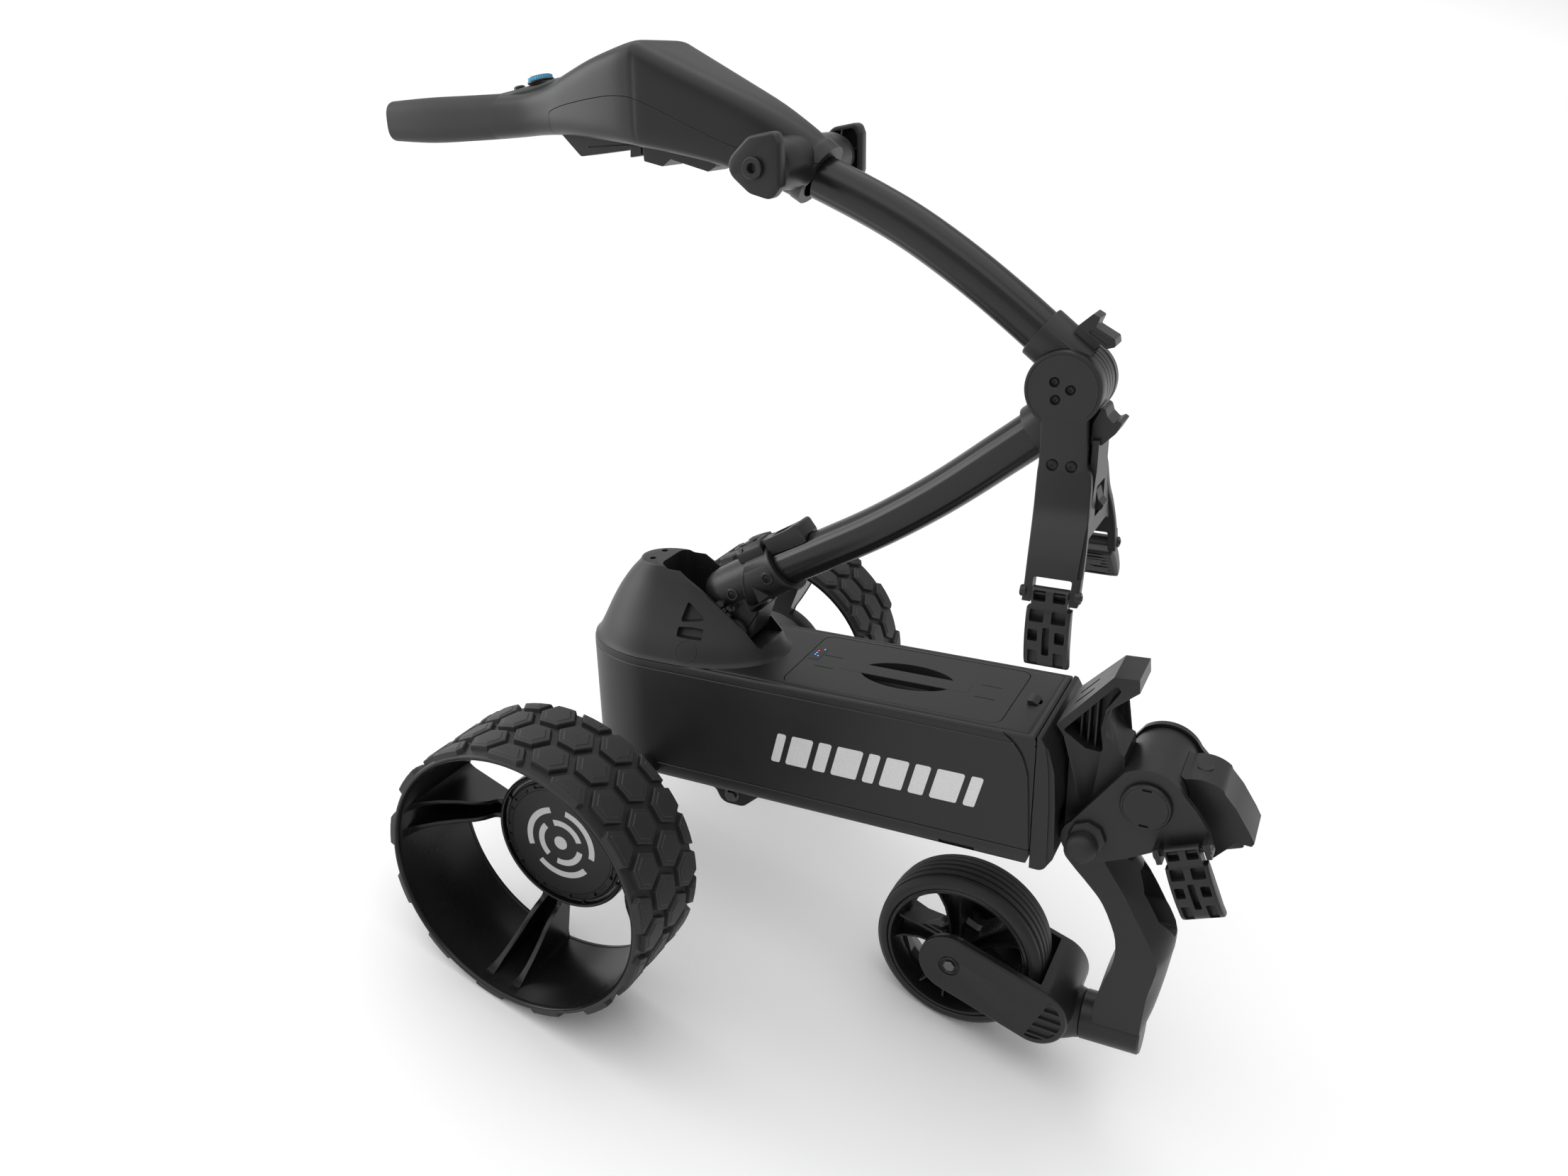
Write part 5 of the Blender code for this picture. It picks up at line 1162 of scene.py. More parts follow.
# ------------------------------------------------------------- bag arms, pads
# height, outer face, thickness, rear edge, front edge
ARM_STATIONS = ((0.4360, 0.0324, 0.0107, 0.4010, 0.4420), (0.4220, 0.0324, 0.0107, 0.4020, 0.4425),
                (0.3950, 0.0328, 0.0107, 0.4025, 0.4440), (0.3800, 0.0333, 0.0106, 0.4025, 0.4450),
                (0.3720, 0.0345, 0.0105, 0.4020, 0.4500), (0.3450, 0.0430, 0.0105, 0.4030, 0.4525),
                (0.3250, 0.0560, 0.0110, 0.4050, 0.4550), (0.3050, 0.0680, 0.0115, 0.4065, 0.4565),
                (0.2860, 0.0770, 0.0125, 0.4075, 0.4570), (0.2690, 0.0830, 0.0130, 0.4075, 0.4570))


def bag_arm(side, hand):
    sections = []
    for z, outer, thick, back, front in curve_through(ARM_STATIONS, 5):
        section = []
        for x, y in rounded([(back, outer), (front, outer), (front, outer - thick),
                             (back, outer - thick)], 0.0016, 3):
            section.append(Vector((x, side * y, z)))
        sections.append(section)
    arm = loft("bag_arm_" + hand, sections)
    inner = KNUCKLE_HALF + 0.0003
    cap = [(0, inner), (DRUM_R - 0.0006, inner), (DRUM_R, inner + 0.0006),
           (DRUM_R, DRUM_HALF - 0.0016), (DRUM_R - 0.0005, DRUM_HALF - 0.0005),
           (DRUM_R - 0.0016, DRUM_HALF), (DRUM_R - 0.0028, DRUM_HALF),
           (DRUM_R - 0.0031, DRUM_HALF - 0.0004), (DRUM_R - 0.0034, DRUM_HALF),
           (0, DRUM_HALF)]
    join(arm, lathe("cap", cap, DRUM, (0, side, 0), 96))
    low, high = sorted((side * 0.05, side * 0.11))
    slot = prism("slot", rounded([(0.4155, 0.25), (0.4495, 0.25), (0.4495, 0.2900, 0.002),
                                  (0.4155, 0.2900, 0.002)], 0), low, high)
    bores = [rod("bore", (DRUM.x + dx, side * 0.0290, DRUM.z + dz),
                 (DRUM.x + dx, side * 0.05, DRUM.z + dz), 0.0047, 28)
             for dx, dz in ((-0.0075, 0.0070), (0.0068, 0.0010), (-0.0060, -0.0085))]
    sinks = [rod("sink", (x, side * 0.0312, 0.3800), (x, side * 0.05, 0.3800), 0.0056, 28)
             for x in (0.4150, 0.4320)]
    wedge_low, wedge_high = 0.4530, 0.4700
    pocket = loft("pocket", [
        [Vector((x, side * y, z)) for y, z in ((0.0345, 0.3600), (0.0370, 0.3600), (0.0755, 0.2920),
                                               (0.0700, 0.2920))]
        for x in (wedge_low, wedge_high)])
    cut(arm, slot, *bores, *sinks, pocket)
    soften(arm, 0.0005, 2, 50)
    dress(arm, "casting", "lower_mast", "bag_arm_" + hand, sharp=34)
    for k, (dx, dz) in enumerate(((-0.0075, 0.0070), (0.0068, 0.0010), (-0.0060, -0.0085))):
        screw("cap_screw_%s_%d" % (hand, k), (DRUM.x + dx, side * 0.0291, DRUM.z + dz),
              (0, side, 0), 0.0036, "lower_mast")
    for k, x in enumerate((0.4150, 0.4320)):
        screw("arm_screw_%s_%d" % (hand, k), (x, side * 0.0313, 0.3800), (0, side, 0), 0.0046,
              "lower_mast", depth=0.0018)
    for k, x in enumerate((PAD_PIN.x - 0.0262, PAD_PIN.x + 0.0254)):
        way = -1 if k == 0 else 1
        head = lathe("pad_pin_head_%s_%d" % (hand, k), [(0, -0.004), (0.0052, -0.004),
                                                       (0.0052, 0.0004), (0.0046, 0.0012),
                                                       (0.0026, 0.0012), (0.0024, 0.0004), (0, 0.0004)],
                     (x, side * PAD_PIN.y, PAD_PIN.z), (way, 0, 0), 28)
        dress(head, "casting", "lower_mast")


def pad(name, body, side, pin, turn, swing, node):
    """Moulded clamp pad: a stiff frame with pockets, and a grooved soft face inside."""
    along = Vector((math.cos(math.radians(turn)), 0, math.sin(math.radians(turn))))
    hang = Vector((math.sin(math.radians(turn)), 0, -math.cos(math.radians(turn))))
    lean = math.radians(swing)
    down = hang * math.cos(lean) + Vector((0, side, 0)) * math.sin(lean)
    out = Vector((0, side, 0)) * math.cos(lean) - hang * math.sin(lean)
    base = Vector((pin.x, side * pin.y, pin.z))
    outwards = 1 if along.cross(down).dot(out) > 0 else -1
    # distance below the pin, middle of the pad across, half thickness
    rows = ((0.0130, 0.0000, 0.0066), (0.0180, 0.0010, 0.0074), (0.0300, 0.0022, 0.0080),
            (0.0450, 0.0020, 0.0084), (0.0580, 0.0004, 0.0084), (0.0640, -0.0010, 0.0082),
            (0.0680, -0.0024, 0.0068), (0.0690, -0.0030, 0.0050))
    half = 0.0198
    sections = []
    for drop, shift, thick in curve_through(rows, 3):
        section = []
        for u, v in rounded([(-half, shift - thick * 0.6), (half, shift - thick * 0.6),
                             (half, shift + thick), (-half, shift + thick)], 0.0022, 3):
            section.append(base + along * u + out * v + down * drop)
        sections.append(section)
    shell = loft(name, sections)
    crest = [(-0.0060, 0.0165), (-0.0062, 0.0)] + arc(0, 0, 0.0062, 180, 360, 14) + [(0.0062, 0.0),
                                                                                  (0.0060, 0.0165)]
    way = 1 if out.cross(down).dot(along) > 0 else -1
    neck = slab("neck", crest, base - along * 0.0160 * way, out, down, 0.0320 * 1)
    join(shell, neck)
    cutters = []
    for u, drop, wide, tall in ((-0.0088, 0.0010, 0.0055, 0.0095), (0.0088, 0.0010, 0.0055, 0.0095),
                                (-0.0098, 0.0190, 0.0064, 0.0110), (0.0098, 0.0190, 0.0064, 0.0110),
                                (-0.0120, 0.0370, 0.0044, 0.0110), (0.0120, 0.0370, 0.0044, 0.0110),
                                (0.0, 0.0420, 0.0032, 0.0270), (-0.0115, 0.0600, 0.0044, 0.0170),
                                (0.0115, 0.0600, 0.0044, 0.0170)):
        outline = rounded([(u - wide, drop - tall / 2), (u + wide, drop - tall / 2),
                           (u + wide, drop + tall / 2), (u - wide, drop + tall / 2)], 0.0012, 2)
        floor = 0.0012 if drop > 0.01 else -0.0030
        cutters.append(slab("pocket", outline, base + out * floor, along, down, outwards * 0.02))
    cut(shell, *cutters)
    join(shell, rod("axle", base - along * 0.0275, base + along * 0.0275, 0.0023, 20))
    soften(shell, 0.0006, 2, 50)
    dress(shell, "casting", body, node, slot="rubber")

    grooves = []
    for k in range(7):
        middle = 0.0180 + 0.0072 * k
        lens = (arc(0, middle - 0.0545, 0.0565, 75, 105, 10)
                + arc(0, middle + 0.0545, 0.0565, 255, 285, 10))
        row = [r for r in rows if r[0] <= middle][-1]
        level = row[1] * 0.8 - 0.0074
        grooves.append(slab("groove", lens, base + out * (level - 0.0020), along, down,
                            outwards * 0.0030))
    outline = rounded([(-half + 0.0010, 0.0142), (half - 0.0010, 0.0142), (half - 0.0010, 0.0668),
                       (-half + 0.0010, 0.0668)], 0.005, 5)
    sections = []
    for inset, level in ((0.0012, -0.0084), (0.0, -0.0074), (0.0, -0.0020)):
        section = []
        for u, drop in outline:
            row = [r for r in rows if r[0] <= drop][-1]
            scale = 1 - inset / half
            section.append(base + along * (u * scale) + out * (level + 0.0010 + row[1] * 0.8)
                           + down * (0.0405 + (drop - 0.0405) * scale))
        sections.append(section)
    face = loft(name + "_face", sections)
    cut(face, *grooves)
    soften(face, 0.0004, 2, 50)
    dress(face, "rubber", body)


def arm_web():
    half = [(0.0208, 0.4020), (0.0212, 0.3760), (0.0305, 0.3470), (0.0430, 0.3290),
            (0.0500, 0.3180), (0.0500, 0.3120), (0.0440, 0.3120), (0.0360, 0.3155), (0.0250, 0.3160)]
    outline = half + [(-y, z) for y, z in reversed(half)]
    web = prism("arm_web", outline, 0.4462, 0.4520, "yz")
    lift = block("lift", (0.4170, -0.0212, 0.3620), (0.4465, 0.0212, 0.3800))
    join(web, lift)
    window = prism("window", rounded([(-0.0165, 0.3310), (0.0165, 0.3310), (0.0165, 0.3590),
                                      (-0.0165, 0.3590)], 0.003, 4), 0.4445, 0.46, "yz")
    through = prism("through", rounded([(-0.0105, 0.3330), (0.0105, 0.3330), (0.0105, 0.3570),
                                        (-0.0105, 0.3570)], 0.001, 2), 0.43, 0.46, "yz")
    cut(web, window, through)
    soften(web, 0.0009, 3)
    dress(web, "casting", "lower_mast", "arm_web")

    shape = rounded([(0.4466, 0.3545, 0.0015), (0.4505, 0.3545, 0.0015), (0.4530, 0.3450, 0.002),
                     (0.4580, 0.3400, 0.001), (0.4560, 0.3360, 0.001), (0.4490, 0.3350, 0.002)], 0, 3)
    paddle = prism("cradle_lever", shape, -0.0095, 0.0095)
    soften(paddle, 0.0007, 3)
    dress(paddle, "casting", "web_lever", "cradle_lever")

    shape = rounded([(0.4430, 0.3966, 0.001), (0.4530, 0.3966, 0.002), (0.4642, 0.4080, 0.002),
                     (0.4694, 0.4176, 0.0008), (0.4661, 0.4196, 0.001), (0.4617, 0.4173, 0.002),
                     (0.4560, 0.4225, 0.001), (0.4540, 0.4285, 0.001), (0.4510, 0.4310, 0.001),
                     (0.4475, 0.4235, 0.001), (0.4440, 0.4160, 0.001)], 0, 3)
    hook = prism("arm_latch", shape, -0.0150, 0.0150)
    soften(hook, 0.0007, 3)
    dress(hook, "casting", "hinge_hook", "arm_latch")


for side, hand in ((-1, "right"), (1, "left")):
    bag_arm(side, hand)
    pad("upper_pad_" + hand, "bag_pad_upper_" + hand, side, PAD_PIN, 0.0, PAD_SWING[hand],
        "upper_pad_" + hand)
    pad("lower_pad_" + hand, "bag_pad_lower_" + hand, side, LOWER_PIN, LOWER_PAD_TURN, 0.0,
        "lower_pad_" + hand)
arm_web()


# -------------------------------------------------------------------- handle
# station, bottom, top, half width, squareness, lean of the section
GRIP = ((-0.3080, 0.6440, 0.6835, 0.0192, 3.0, 0.0), (-0.2600, 0.6425, 0.6865, 0.0212, 3.0, 0.0),
        (-0.2100, 0.6445, 0.6880, 0.0214, 3.0, 0.0), (-0.1645, 0.6470, 0.6895, 0.0216, 3.0, 0.0))
HEAD = ((-0.1720, 0.6465, 0.6890, 0.0216, 3.0, 0.0), (-0.1500, 0.6480, 0.6900, 0.0222, 3.0, 0.0),
        (-0.1250, 0.6500, 0.6925, 0.0240, 3.0, 0.0), (-0.1000, 0.6508, 0.6985, 0.0290, 3.4, 0.0),
        (-0.0750, 0.6500, 0.7078, 0.0365, 4.0, 0.0), (-0.0400, 0.6475, 0.7198, 0.0460, 5.4, 0.0),
        (-0.0050, 0.6445, 0.7292, 0.0540, 6.4, 0.0), (0.0120, 0.6420, 0.7330, 0.0562, 6.8, 0.0),
        (0.0180, 0.6410, 0.7328, 0.0562, 6.8, 0.001), (0.0260, 0.6400, 0.7286, 0.0562, 6.4, 0.002), (0.0550, 0.6345, 0.7140, 0.0510, 5.4, 0.004),
        (0.0900, 0.6265, 0.6965, 0.0435, 4.6, 0.006), (0.1250, 0.6160, 0.6780, 0.0360, 3.4, 0.010),
        (0.1520, 0.6050, 0.6600, 0.0300, 2.6, 0.014), (0.1680, 0.5985, 0.6475, 0.0275, 2.2, 0.0165),
        (0.1690, 0.5970, 0.6485, 0.0285, 2.1, 0.0168), (0.1785, 0.5920, 0.6410, 0.0284, 2.1, 0.0178))


def oval(x, bottom, top, half, power, lean=0.0, steps=80):
    """A squared-off oval standing across X, leaning forward at its top."""
    section = []
    for i in range(steps):
        angle = math.tau * (i + 0.5) / steps
        c, s = math.cos(angle), math.sin(angle)
        y = half * math.copysign(abs(c) ** (2 / power), c)
        rise = math.copysign(abs(s) ** (2 / power), s)
        section.append(Vector((x + lean * rise, y, (bottom + top) / 2 + (top - bottom) / 2 * rise)))
    return section


def handle():
    grip = loft("handle_grip", [oval(*row) for row in curve_through(GRIP, 6)])
    soften(grip, 0.0012, 3, 60)
    dress(grip, "rubber", "upper_mast", "handle_grip", sharp=0)

    seam = curve_through([(-0.0960, 0.6300), (-0.0945, 0.6640), (-0.0860, 0.6755), (-0.0300, 0.6850),
                          (0.0050, 0.6865), (0.0300, 0.6800), (0.0800, 0.6560), (0.1100, 0.6430),
                          (0.1500, 0.6330), (0.2200, 0.6250)], 4)
    seam = [tuple(p) for p in seam]
    for name, line, rest in (
            ("handle_cover", [(x - 0.0002, z + 0.0003) for x, z in seam], [(0.2200, 0.54), (-0.0960, 0.54)]),
            ("handle_base", [(x + 0.0002, z - 0.0003) for x, z in seam],
             [(0.2200, 0.82), (-0.2200, 0.82), (-0.2200, 0.6300)])):
        shell = loft(name, [oval(*row) for row in curve_through(HEAD, 4)])
        cut(shell, prism("split", line + rest, -0.10, 0.10))
        bore = [Vector((0.2400, 0.5890)), Vector((0.2000, 0.6065)), Vector((0.1560, 0.6250))]
        run = Vector((bore[0].x - bore[2].x, 0, bore[0].y - bore[2].y))
        cut(shell, rod("bore", (bore[2].x, 0, bore[2].y), Vector((bore[2].x, 0, bore[2].y)) + run,
                       UPPER_TUBE_R + 0.0008, 64))
        if name == "handle_cover":
            well = Vector((-0.1480, 0, 0.6934)) - POD_UP * 0.0035
            cut(shell, rod("well", well, well + POD_UP * 0.02, 0.0066, 32))
        soften(shell, 0.0004, 2, 55)
        dress(shell, "housing", "upper_mast", name, sharp=42)

    pod_rows = ((-0.1680, 0.6860, 0.6898, 0.0075, 2.4, 0.0), (-0.1600, 0.6850, 0.6912, 0.0105, 2.4, 0.0),
                (-0.1480, 0.6850, 0.6932, 0.0130, 2.6, 0.0), (-0.1350, 0.6850, 0.6958, 0.0142, 2.8, 0.0),
                (-0.1200, 0.6850, 0.6988, 0.0152, 2.8, 0.0), (-0.1050, 0.6850, 0.7018, 0.0150, 2.8, 0.0),
                (-0.0960, 0.6860, 0.7036, 0.0135, 2.6, 0.0), (-0.0900, 0.6900, 0.7040, 0.0105, 2.4, 0.0))
    pod = loft("control_pod", [oval(*row, steps=48) for row in curve_through(pod_rows, 3)])
    well = Vector((-0.1480, 0, 0.6934)) - POD_UP * 0.0035
    cut(pod, rod("well", well, well + POD_UP * 0.02, 0.0064, 40))
    soften(pod, 0.0005, 2, 50)
    dress(pod, "gloss", "upper_mast")

    dial_at = local("dial_turn")
    skirt = lathe("dial_skirt", [(0, 0), (0.0128, 0), (0.0134, 0.0005), (0.0134, 0.0016),
                                 (0.0128, 0.0022), (0, 0.0022)], dial_at, POD_UP, 64)
    dress(skirt, "gloss", "dial")
    profile = []
    for k in range(120):
        angle = math.tau * k / 120
        r = 0.0118 + 0.00045 * math.cos(angle * 30)
        profile.append((r * math.cos(angle), r * math.sin(angle)))
    side = POD_UP.orthogonal().normalized()
    ring = slab("speed_dial", profile, dial_at + POD_UP * 0.0020, side, POD_UP.cross(side), 0.0034)
    dress(ring, "blue", "dial", "speed_dial", sharp=60)
    cap = lathe("dial_cap", [(0, 0), (0.0108, 0), (0.0108, 0.0004), (0.0100, 0.0011), (0, 0.0013)],
                dial_at + POD_UP * 0.0052, POD_UP, 48)
    dress(cap, "gloss", "dial")
    push = Vector((-0.1480, 0, 0.6934))
    button = lathe("power_button", [(0, -0.0005), (0.0058, -0.0005), (0.0058, 0.0014), (0.0050, 0.0024),
                                    (0, 0.0027)], push, POD_UP, 40)
    dress(button, "gloss", "button", "power_button", slot="blue")
    halo = lathe("button_ring", [(0.0030, 0.0024), (0.0044, 0.0024), (0.0042, 0.0029), (0.0032, 0.0029)],
                 push, POD_UP, 40)
    dress(halo, "blue", "button")


def handle_fittings():
    wedge = rounded([(-0.0930, 0.6540, 0), (-0.0700, 0.6315, 0.004), (-0.0130, 0.6380, 0.003),
                     (0.0000, 0.6400, 0.001), (0.0000, 0.6500, 0), (-0.0500, 0.6560, 0)], 0, 4)
    hook = prism("umbrella_hook", wedge, -0.0165, 0.0165)
    groove = prism("groove", [(-0.0600, 0.6400), (-0.0100, 0.6428), (-0.0100, 0.6436),
                              (-0.0600, 0.6412)], -0.03, -0.0155)
    cut(hook, groove)
    soften(hook, 0.0012, 3)
    dress(hook, "casting", "upper_mast")
    tab = prism("hook_tab", rounded([(-0.0130, 0.6310), (-0.0010, 0.6330), (0.0000, 0.6420),
                                     (-0.0120, 0.6420)], 0.0010, 2), -0.0175, 0.0100)
    soften(tab, 0.0005, 2)
    dress(tab, "casting", "upper_mast")
    strip = rounded([(0.0020, 0.6440, 0), (0.0030, 0.6280, 0.0015), (0.0230, 0.6235, 0.0015),
                     (0.0320, 0.6300, 0.001), (0.0720, 0.6195, 0.0015), (0.0800, 0.6240, 0.001),
                     (0.0820, 0.6330, 0)], 0, 3)
    rail = prism("accessory_rail", strip, -0.0190, 0.0190)
    soften(rail, 0.0008, 3)
    dress(rail, "casting", "upper_mast")

    for side, hand in ((-1, "right"), (1, "left")):
        at = Vector((KNOB.x, 0, KNOB.z))
        boss = [(0, 0.0200), (0.0240, 0.0200), (0.0232, 0.0300), (0.0222, 0.0400), (0.0220, 0.0640),
                (0.0206, 0.0690), (0.0180, 0.0712), (0.0180, 0.0738), (0.0192, 0.0746),
                (0.0192, 0.0770), (0.0180, 0.0786), (0, 0.0786)]
        stub = lathe("knob_boss_" + hand, boss, at, (0, side, 0), 80)
        cut(stub, loft("seat", [oval(x, b + 0.003, t - 0.003, h - 0.0015, p, l, 48)
                                for x, b, t, h, p, l in curve_through(HEAD[8:], 2)]))
        soften(stub, 0.0003, 2, 50)
        dress(stub, "casting", "upper_mast", "knob_boss_" + hand, sharp=34)

        x, z = at.x, at.z
        corners = [(x - 0.0325, z + 0.0010, 0.014), (x - 0.0060, z + 0.0255, 0.012),
                   (x + 0.0200, z + 0.0300, 0.0095), (x + 0.0240, z + 0.0200, 0.006),
                   (x + 0.0240, z - 0.0150, 0.008), (x + 0.0150, z - 0.0265, 0.0095),
                   (x - 0.0060, z - 0.0210, 0.014)]
        low, high = sorted((side * 0.0820, side * 0.0965))
        knob = prism("knob_" + hand, rounded(corners, 0, 6), low, high)
        soften(knob, 0.0030, 4, 60)
        settle(knob)
        hollow = rounded([(cx + (x - 0.003 - cx) * 0.16, cz + (z - cz) * 0.16, r * 0.8)
                          for cx, cz, r in corners], 0, 5)
        low, high = sorted((side * 0.0800, side * 0.0915))
        cavity = prism("cavity", hollow, low, high)
        blades = []
        for turn in (20, 80, 140):
            a = math.radians(turn)
            u, v = (math.cos(a), math.sin(a)), (-math.sin(a), math.cos(a))
            wide = 0.0008
            outline = [(x + u[0] * 0.04 * s + v[0] * wide * t, z + u[1] * 0.04 * s + v[1] * wide * t)
                       for s, t in ((-1, -1), (1, -1), (1, 1), (-1, 1))]
            blades.append(prism("blade", outline, low - 0.001, high + 0.001))
        cut(cavity, *blades, rod("core", (x, side * 0.07, z), (x, side * 0.10, z), 0.0110, 40))
        cut(knob, cavity)
        hub = lathe("hub", [(0.0058, 0.0900), (0.0078, 0.0962), (0.0092, 0.0990), (0.0092, 0.1008),
                            (0.0084, 0.1016), (0.0046, 0.1016), (0.0040, 0.1010), (0.0040, 0.0900)],
                    at, (0, side, 0), 48)
        join(knob, hub)
        cut(knob, slab("socket", arc(0, 0, 0.0041, 0, 300, 5), at + Vector((0, side * 0.0955, 0)),
                       (1, 0, 0), (0, 0, -side), 0.03))
        dress(knob, "casting", "side_knob_" + hand, "knob_" + hand, sharp=34)
        neck = lathe("knob_stem_" + hand, [(0, 0.0790), (0.0100, 0.0790), (0.0100, 0.0920), (0, 0.0920)],
                     at, (0, side, 0), 32)
        dress(neck, "casting", "side_knob_" + hand)


handle()
handle_fittings()


# ---------------------------------------------------------- cradle and hinge
def cradle():
    px, pz = LEG_PIVOT.x, LEG_PIVOT.z
    recess = arc(0.5130, 0.1335, 0.0330, 122, 247, 24)
    tip = [(0.4335, 0.1290), (0.4840, 0.1820), (0.5070, 0.1838), (0.5085, 0.1700), (0.4990, 0.1680)]
    outline = [(0.4494, 0.0100), (0.4494, 0.1000), (0.4440, 0.1180), (0.4370, 0.1300), (0.4840, 0.1825),
               (0.5072, 0.1838), (0.5085, 0.1705), (0.5010, 0.1690), (0.4965, 0.1650)]
    outline += recess[3:]
    outline += [(0.5060, 0.0450), (0.4700, 0.0180)]
    wide, narrow = 0.0400, 0.0258
    bm = bmesh.new()
    rings = []
    for s in (-1, 1):
        ring = []
        for x, z in outline:
            t = min(1.0, max(0.0, (x - 0.4360) / 0.050))
            high = min(1.0, max(0.0, (z - 0.09) / 0.03))
            half = wide + (narrow - wide) * t
            half = half * high + 0.0270 * (1 - high)
            ring.append(bm.verts.new((x, s * half, z)))
        rings.append(ring)
    for i in range(len(outline)):
        k = (i + 1) % len(outline)
        bm.faces.new((rings[0][i], rings[0][k], rings[1][k], rings[1][i]))
    bm.faces.new(rings[0])
    bm.faces.new(rings[1])
    bmesh.ops.triangulate(bm, faces=[f for f in bm.faces if len(f.verts) > 4])
    bracket = new_mesh("cradle_bracket", bm)
    pocket = rounded([(0.4430, 0.1245, 0.003), (0.4880, 0.1760, 0.003), (0.4925, 0.1700, 0.003),
                      (0.4800, 0.1500, 0.01), (0.4765, 0.1280, 0.01), (0.4800, 0.1020, 0.003),
                      (0.4640, 0.1060, 0.003)], 0, 4)
    cutters = [prism("pocket", pocket, -0.05, -0.0060), prism("pocket", pocket, 0.0060, 0.05)]
    ribs = []
    for x in (0.4560, 0.4630, 0.4700):
        for s in (-1, 1):
            low, high = sorted((s * 0.0050, s * 0.0215))
            ribs.append(prism("rib", [(x, 0.09), (x + 0.0016, 0.09), (x + 0.0016, 0.17), (x, 0.17)],
                              low, high))
    cut(cutters[0], *ribs[0::2])
    cut(cutters[1], *ribs[1::2])
    cut(bracket, *cutters)
    for offset in (-0.0110, 0.0110):
        slot = slab("slot", rounded([(0.0160, offset - 0.0024), (0.0420, offset - 0.0024),
                                     (0.0420, offset + 0.0024), (0.0160, offset + 0.0024)], 0.002, 3),
                    (0.4370, 0, 0.1285), (0.0470, 0, 0.0525), (0, 1, 0), 0.0100)
        cut(bracket, slot)
    barrel = [(0, -CHEEK_IN + 0.0003), (0.0320, -CHEEK_IN + 0.0003), (0.0335, -CHEEK_IN + 0.0014),
              (0.0335, CHEEK_IN - 0.0014), (0.0320, CHEEK_IN - 0.0003), (0, CHEEK_IN - 0.0003)]
    join(bracket, lathe("barrel", barrel, LEG_PIVOT, (0, 1, 0), 96))
    soften(bracket, 0.0012, 3, 40)
    dress(bracket, "casting", "chassis", "cradle_bracket", sharp=36)

    for side, hand in ((-1, "right"), (1, "left")):
        face = CHEEK_OUT + 0.0003
        cap = [(0, face), (0.0232, face), (0.0238, face + 0.0008), (0.0238, face + 0.0034),
               (0.0226, face + 0.0050), (0.0212, face + 0.0053), (0.0208, face + 0.0048),
               (0.0204, face + 0.0052), (0, face + 0.0052)]
        disc = lathe("hinge_cap_" + hand, cap, LEG_PIVOT, (0, side, 0), 80)
        slots = []
        for dz in (-0.0188, 0.0188):
            low, high = sorted((side * (face + 0.003), side * 0.07))
            slots.append(prism("key", rounded([(px - 0.0045, pz + dz - 0.0012),
                                               (px + 0.0045, pz + dz - 0.0012),
                                               (px + 0.0045, pz + dz + 0.0012),
                                               (px - 0.0045, pz + dz + 0.0012)], 0.001, 2), low, high))
        cut(disc, *slots)
        soften(disc, 0.0003, 2, 50)
        nodes = ("front_hinge_pin",) if side < 0 else ()
        dress(disc, "housing", "chassis", *nodes)
    pin = rod("hinge_pin", (px, -CHEEK_OUT, pz), (px, CHEEK_OUT, pz), 0.0080, 32)
    dress(pin, "steel", "chassis")


def bag_shelf():
    px, pz = LEG_PIVOT.x, LEG_PIVOT.z
    outline = arc(px, pz, 0.0339, 45, -30, 12)
    outline += [(0.5880, 0.0130), (0.6080, 0.0365), (0.6215, 0.0360), (0.6235, 0.0400),
                (0.6180, 0.0500), (0.6040, 0.0715), (0.5930, 0.0840)]
    outline += arc(0.5700, 0.0600, 0.0350, 52, 112, 10)
    ledge = prism("bag_shelf", outline, -0.0265, 0.0265)
    under = slab("under", [(-0.0220, -0.0060), (0.0220, -0.0060), (0.0220, 0.0100), (-0.0220, 0.0100)],
                 (0.5980, 0, 0.0240), (0, 1, 0), (0.66, 0, 0.75), 0.022)
    cut(ledge, under)
    soften(ledge, 0.0022, 4, 40)
    dress(ledge, "casting", "folding_leg", "bag_shelf")
    plug = lathe("shelf_plug", [(0, -0.001), (0.0075, -0.001), (0.0075, 0.0003), (0.0070, 0.0007),
                                (0, 0.0007)], (0.5705, 0, 0.0948), (0.0, 0, 1), 40)
    dress(plug, "casting", "folding_leg")


# height, rear edge, front corner, crown of the front face, half width
LEG_ROWS = ((0.0300, 0.4580, 0.4800, 0.4990, 0.0352), (0.0100, 0.4530, 0.4830, 0.5020, 0.0352),
            (-0.0100, 0.4520, 0.4915, 0.5110, 0.0352), (-0.0220, 0.4600, 0.4990, 0.5190, 0.0352),
            (-0.0430, 0.4800, 0.5130, 0.5350, 0.0352), (-0.0610, 0.4945, 0.5230, 0.5470, 0.0352),
            (-0.0910, 0.5075, 0.5400, 0.5620, 0.0350), (-0.1100, 0.5105, 0.5490, 0.5630, 0.0346),
            (-0.1210, 0.5100, 0.5520, 0.5615, 0.0340), (-0.1400, 0.5065, 0.5490, 0.5590, 0.0322),
            (-0.1610, 0.5000, 0.5450, 0.5558, 0.0300), (-0.1900, 0.4935, 0.5425, 0.5505, 0.0270),
            (-0.2150, 0.4930, 0.5410, 0.5440, 0.0252))


